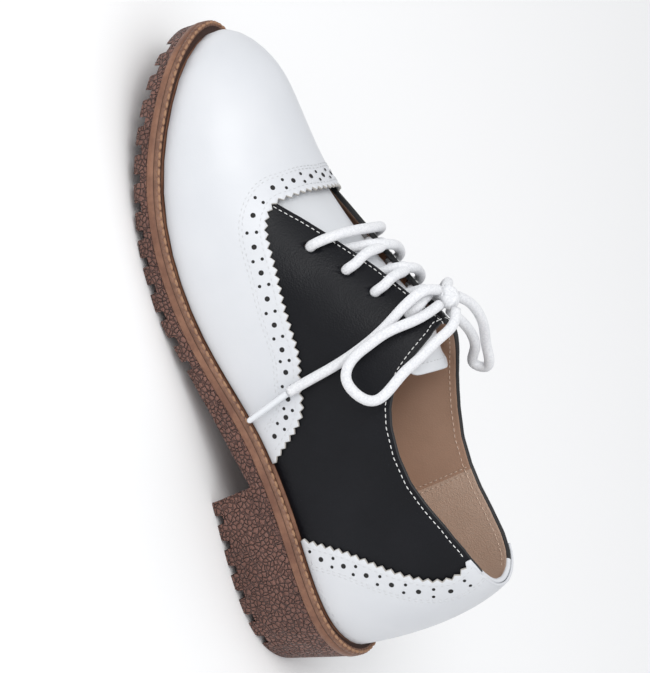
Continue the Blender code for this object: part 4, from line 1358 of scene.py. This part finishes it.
def weltPiece():
    look = weltLook
    count = look["ribs"] * 3

    def profile(s, side):
        width = pick(side, widthOf["lateral"](s), widthOf["medial"](s))
        line = outline(s, side, width)
        at = runOf(line)
        rib = np.cos(2 * np.pi * at / at[-1] * look["ribs"]) * 0.5 + 0.5
        zero = np.zeros_like(s)
        top = look["top"]
        return [(width, zero + look["bottom"]), (width, zero - 5.2), (width - 0.05, zero - 3.1),
                (width - 0.55, zero - 2.75), (width - 0.5, zero - 2.5),
                (width - 0.1 - 0.15 * rib, zero - 2.1),
                (width - 0.25 - 0.3 * rib, zero - 1.2 - 0.1 * rib),
                (width - 0.9 - 0.2 * rib, zero - 0.55 - 0.2 * rib),
                (width - 1.7, top - 0.1 - 0.3 * rib), (width - 2.6, top - 0.15 - 0.25 * rib),
                (width - 3.1, zero - 1.3), (zero + 0.2, zero - 1.4), (zero - 0.6, zero - 0.5),
                (zero - 1.2, zero + top), (zero - look["inner"], zero + top),
                (zero - look["inner"], zero + look["bottom"])]
    # band 2 lays the painted-shade brown into the groove and into the gap next to the upper; bands 0
    # and 1 are the strip and the bead
    bands = [0, 0, 0, 2, 1, 1, 1, 1, 1, 2, 2, 0, 0, 0, 0, 0]
    ringPiece("welt", profile, count, [weltBand, weltBead, weltGrooveShade], ["welt"], bands)
    s, side = loopPlaces(1500)
    width = pick(side, widthOf["lateral"](s), widthOf["medial"](s))
    line = outline(s, side, width - 1.35)
    line = np.concatenate([line, line[:1]])
    line = np.stack([line[:, 0], line[:, 1], seatZ(line[:, 0]) - 0.62], -1)
    whole, _ = evenly(line, look["stitchPitch"], 1.0)
    alongs = line[whole + 1] - line[whole]
    outward = np.stack([-alongs[:, 1], alongs[:, 0], 0 * alongs[:, 0]], -1)
    centre = np.array([line[:, 0].mean(), 0, 0])
    outward *= np.sign((outward * (line[whole] - centre)).sum(1))[:, None]
    outward /= np.linalg.norm(outward, axis=1, keepdims=True)
    strew("welt_stitches", line[whole], outward * 0.5 + np.array([0, 0, 0.85]), alongs,
          stitchItem(look["stitchLength"], 1.35, 0.05), threadTan, "welt_strip")


def insolePiece():
    count = 90
    s, side = loopPlaces(count)
    levels = [(-9.0, -5.6), (-9.0, 0.0), (-3.9, 0.1), (-4.2, 1.6), (-5.0, 2.2), (-8.0, 2.3),
              (-14.0, 2.3), (-20.0, 2.3)]
    points = []
    for out, rise in levels:
        place = outline(s, side, np.full(len(s), float(max(out, -9.0))))
        if out < -9.0:
            middle = np.stack([np.clip(place[:, 0], 25, 245), np.full(len(s), 1.5)], -1)
            share = (-out - 9.0) / 30.0
            place = place * (1 - share) + middle * share
        points.append(np.stack([place[:, 0], place[:, 1], seatZ(place[:, 0]) + rise], -1))
    n = len(s)
    faces = []
    for k in range(len(levels) - 1):
        for i in range(n):
            faces.append([k * n + i, k * n + (i + 1) % n, (k + 1) * n + (i + 1) % n, (k + 1) * n + i])
    for start in (0, (len(levels) - 1) * n):
        for i in range(count):
            face = [start + k for k in (i, i + 1, (n - i - 1) % n, (n - i) % n)]
            face = list(dict.fromkeys(face))
            if len(face) > 2:
                faces.append(face)
    addPiece("insole", makeMesh("insole", np.concatenate(points), faces), [sockLeather], ["insole"])


treadTable = ("x", "z"), [
    (79.6, 19.8), (92.0, 15.8), (105.0, 11.9), (120.0, 7.8), (135.0, 4.2), (148.0, 1.4),
    (158.0, 0.0), (178.0, 0.0), (189.0, 1.0), (200.0, 2.3), (211.0, 3.7), (223.0, 5.6),
    (234.0, 8.0), (244.0, 10.6), (253.0, 13.2), (262.0, 15.6), (271.0, 17.6),
]
soleLook = dict(top=-5.9, lugDepth=4.0, lugGap=4.0, heelTaper=3.2, draft=1.8, footX=76.4, breastX=79.6,
                heelLugs=(14.0, 24.5, 35.5, 46.5, 57.5, 68.5),
                forefootLugs=(133.3, 144.0, 155.2, 166.6, 177.8, 188.9, 200.0, 211.4, 222.8, 233.8,
                              244.2, 253.6, 262.0))


def solePiece():
    look = soleLook
    edges = {}
    for side in (1, -1):
        s = np.linspace(0, 1, 900)
        width = widthOf["lateral" if side > 0 else "medial"](s) - 0.3
        edges[side] = outline(s, np.full(len(s), float(side)), width)
    x0, x1 = edges[1][0, 0], edges[1][-1, 0]
    half = look["lugGap"] / 2
    gaps = [(x - half, x + half) for x in look["heelLugs"] + look["forefootLugs"]]
    cuts = [(x, 0.0) for x in np.arange(8.0, x1 - 6, 1.6)
            if not any(a - 0.5 < x < b + 0.5 for a, b in gaps)]
    ends = (0.05, 0.2, 0.5, 0.9, 1.4, 2.1, 3.0, 4.2, 5.4, 6.6)
    cuts += [(x0 + d, 0.0) for d in ends] + [(x1 - d, 0.0) for d in ends]
    for a, b in gaps:
        cuts += [(a - 0.4, 0.0), (a - 0.1, 0.35), (a + 0.1, 1.2), (a + 0.25, look["lugDepth"]),
                 (b - 0.25, look["lugDepth"]), (b - 0.1, 1.2), (b + 0.1, 0.35), (b + 0.4, 0.0)]
    footX, breastX = look["footX"], look["breastX"]
    cuts = [c for c in cuts if abs(c[0] - 78) > 2.2]
    cuts = sorted(cuts + [(footX - 0.5, 0.0), (footX, 0.4), (footX + 0.4, 2.0), (breastX, 0.0),
                          (breastX + 1.0, 0.0)])
    heights = (0.0, 0.04, 0.12, 0.3, 0.5, 0.7, 0.88, 1.0)
    points = []
    for x, gap in cuts:
        top = float(seatZ(x)) + look["top"]
        onHeel = x <= footX + 0.3
        foot = 0.0 if onHeel else float(straight(treadTable, "z", x))
        if footX + 0.3 < x < breastX:
            foot = 2.0
        taper = look["heelTaper"] * (1 - x / footX) if onHeel else 0.0
        ring = []
        for side in (1, -1):
            y = float(np.interp(x, edges[side][:, 0], edges[side][:, 1]))
            inset = min(look["draft"] + (0.8 if onHeel else 0.0), 0.6 * abs(y))
            line = []
            for h in heights:
                z = foot + (top - foot) * h
                inward = inset * (1 - h) ** 1.2 - 0.35 * math.sin(math.pi * h)
                inward += 0.45 if h == 0.0 else 0.0
                line.append([x + taper * (1 - h), y - side * inward, z])
            for p in line:
                if gap and p[2] < foot + gap:
                    p[2] = foot + gap + (p[2] - foot) * 0.02
            ring.append(line)
        points += ring[0][::-1] + ring[1]
    m = 2 * len(heights)
    faces = []
    for i in range(len(cuts) - 1):
        for k in range(m):
            a, b = i * m + k, i * m + (k + 1) % m
            faces.append([a, b, b + m, a + m])
    faces += [list(range(m)), list(range(len(points) - m, len(points)))[::-1]]
    mesh = makeMesh("outsole", points, faces)
    mesh.set_sharp_from_angle(angle=math.radians(42))
    addPiece("outsole", mesh, [soleRubber], ["outsole"])


insolePiece()
weltPiece()
solePiece()
print("bottom ready")

# the loose stitch and holes were only copied from
for item in [o for o in bpy.data.objects if o.name.startswith(("stitch_item", "hole_item"))]:
    bpy.data.objects.remove(item)
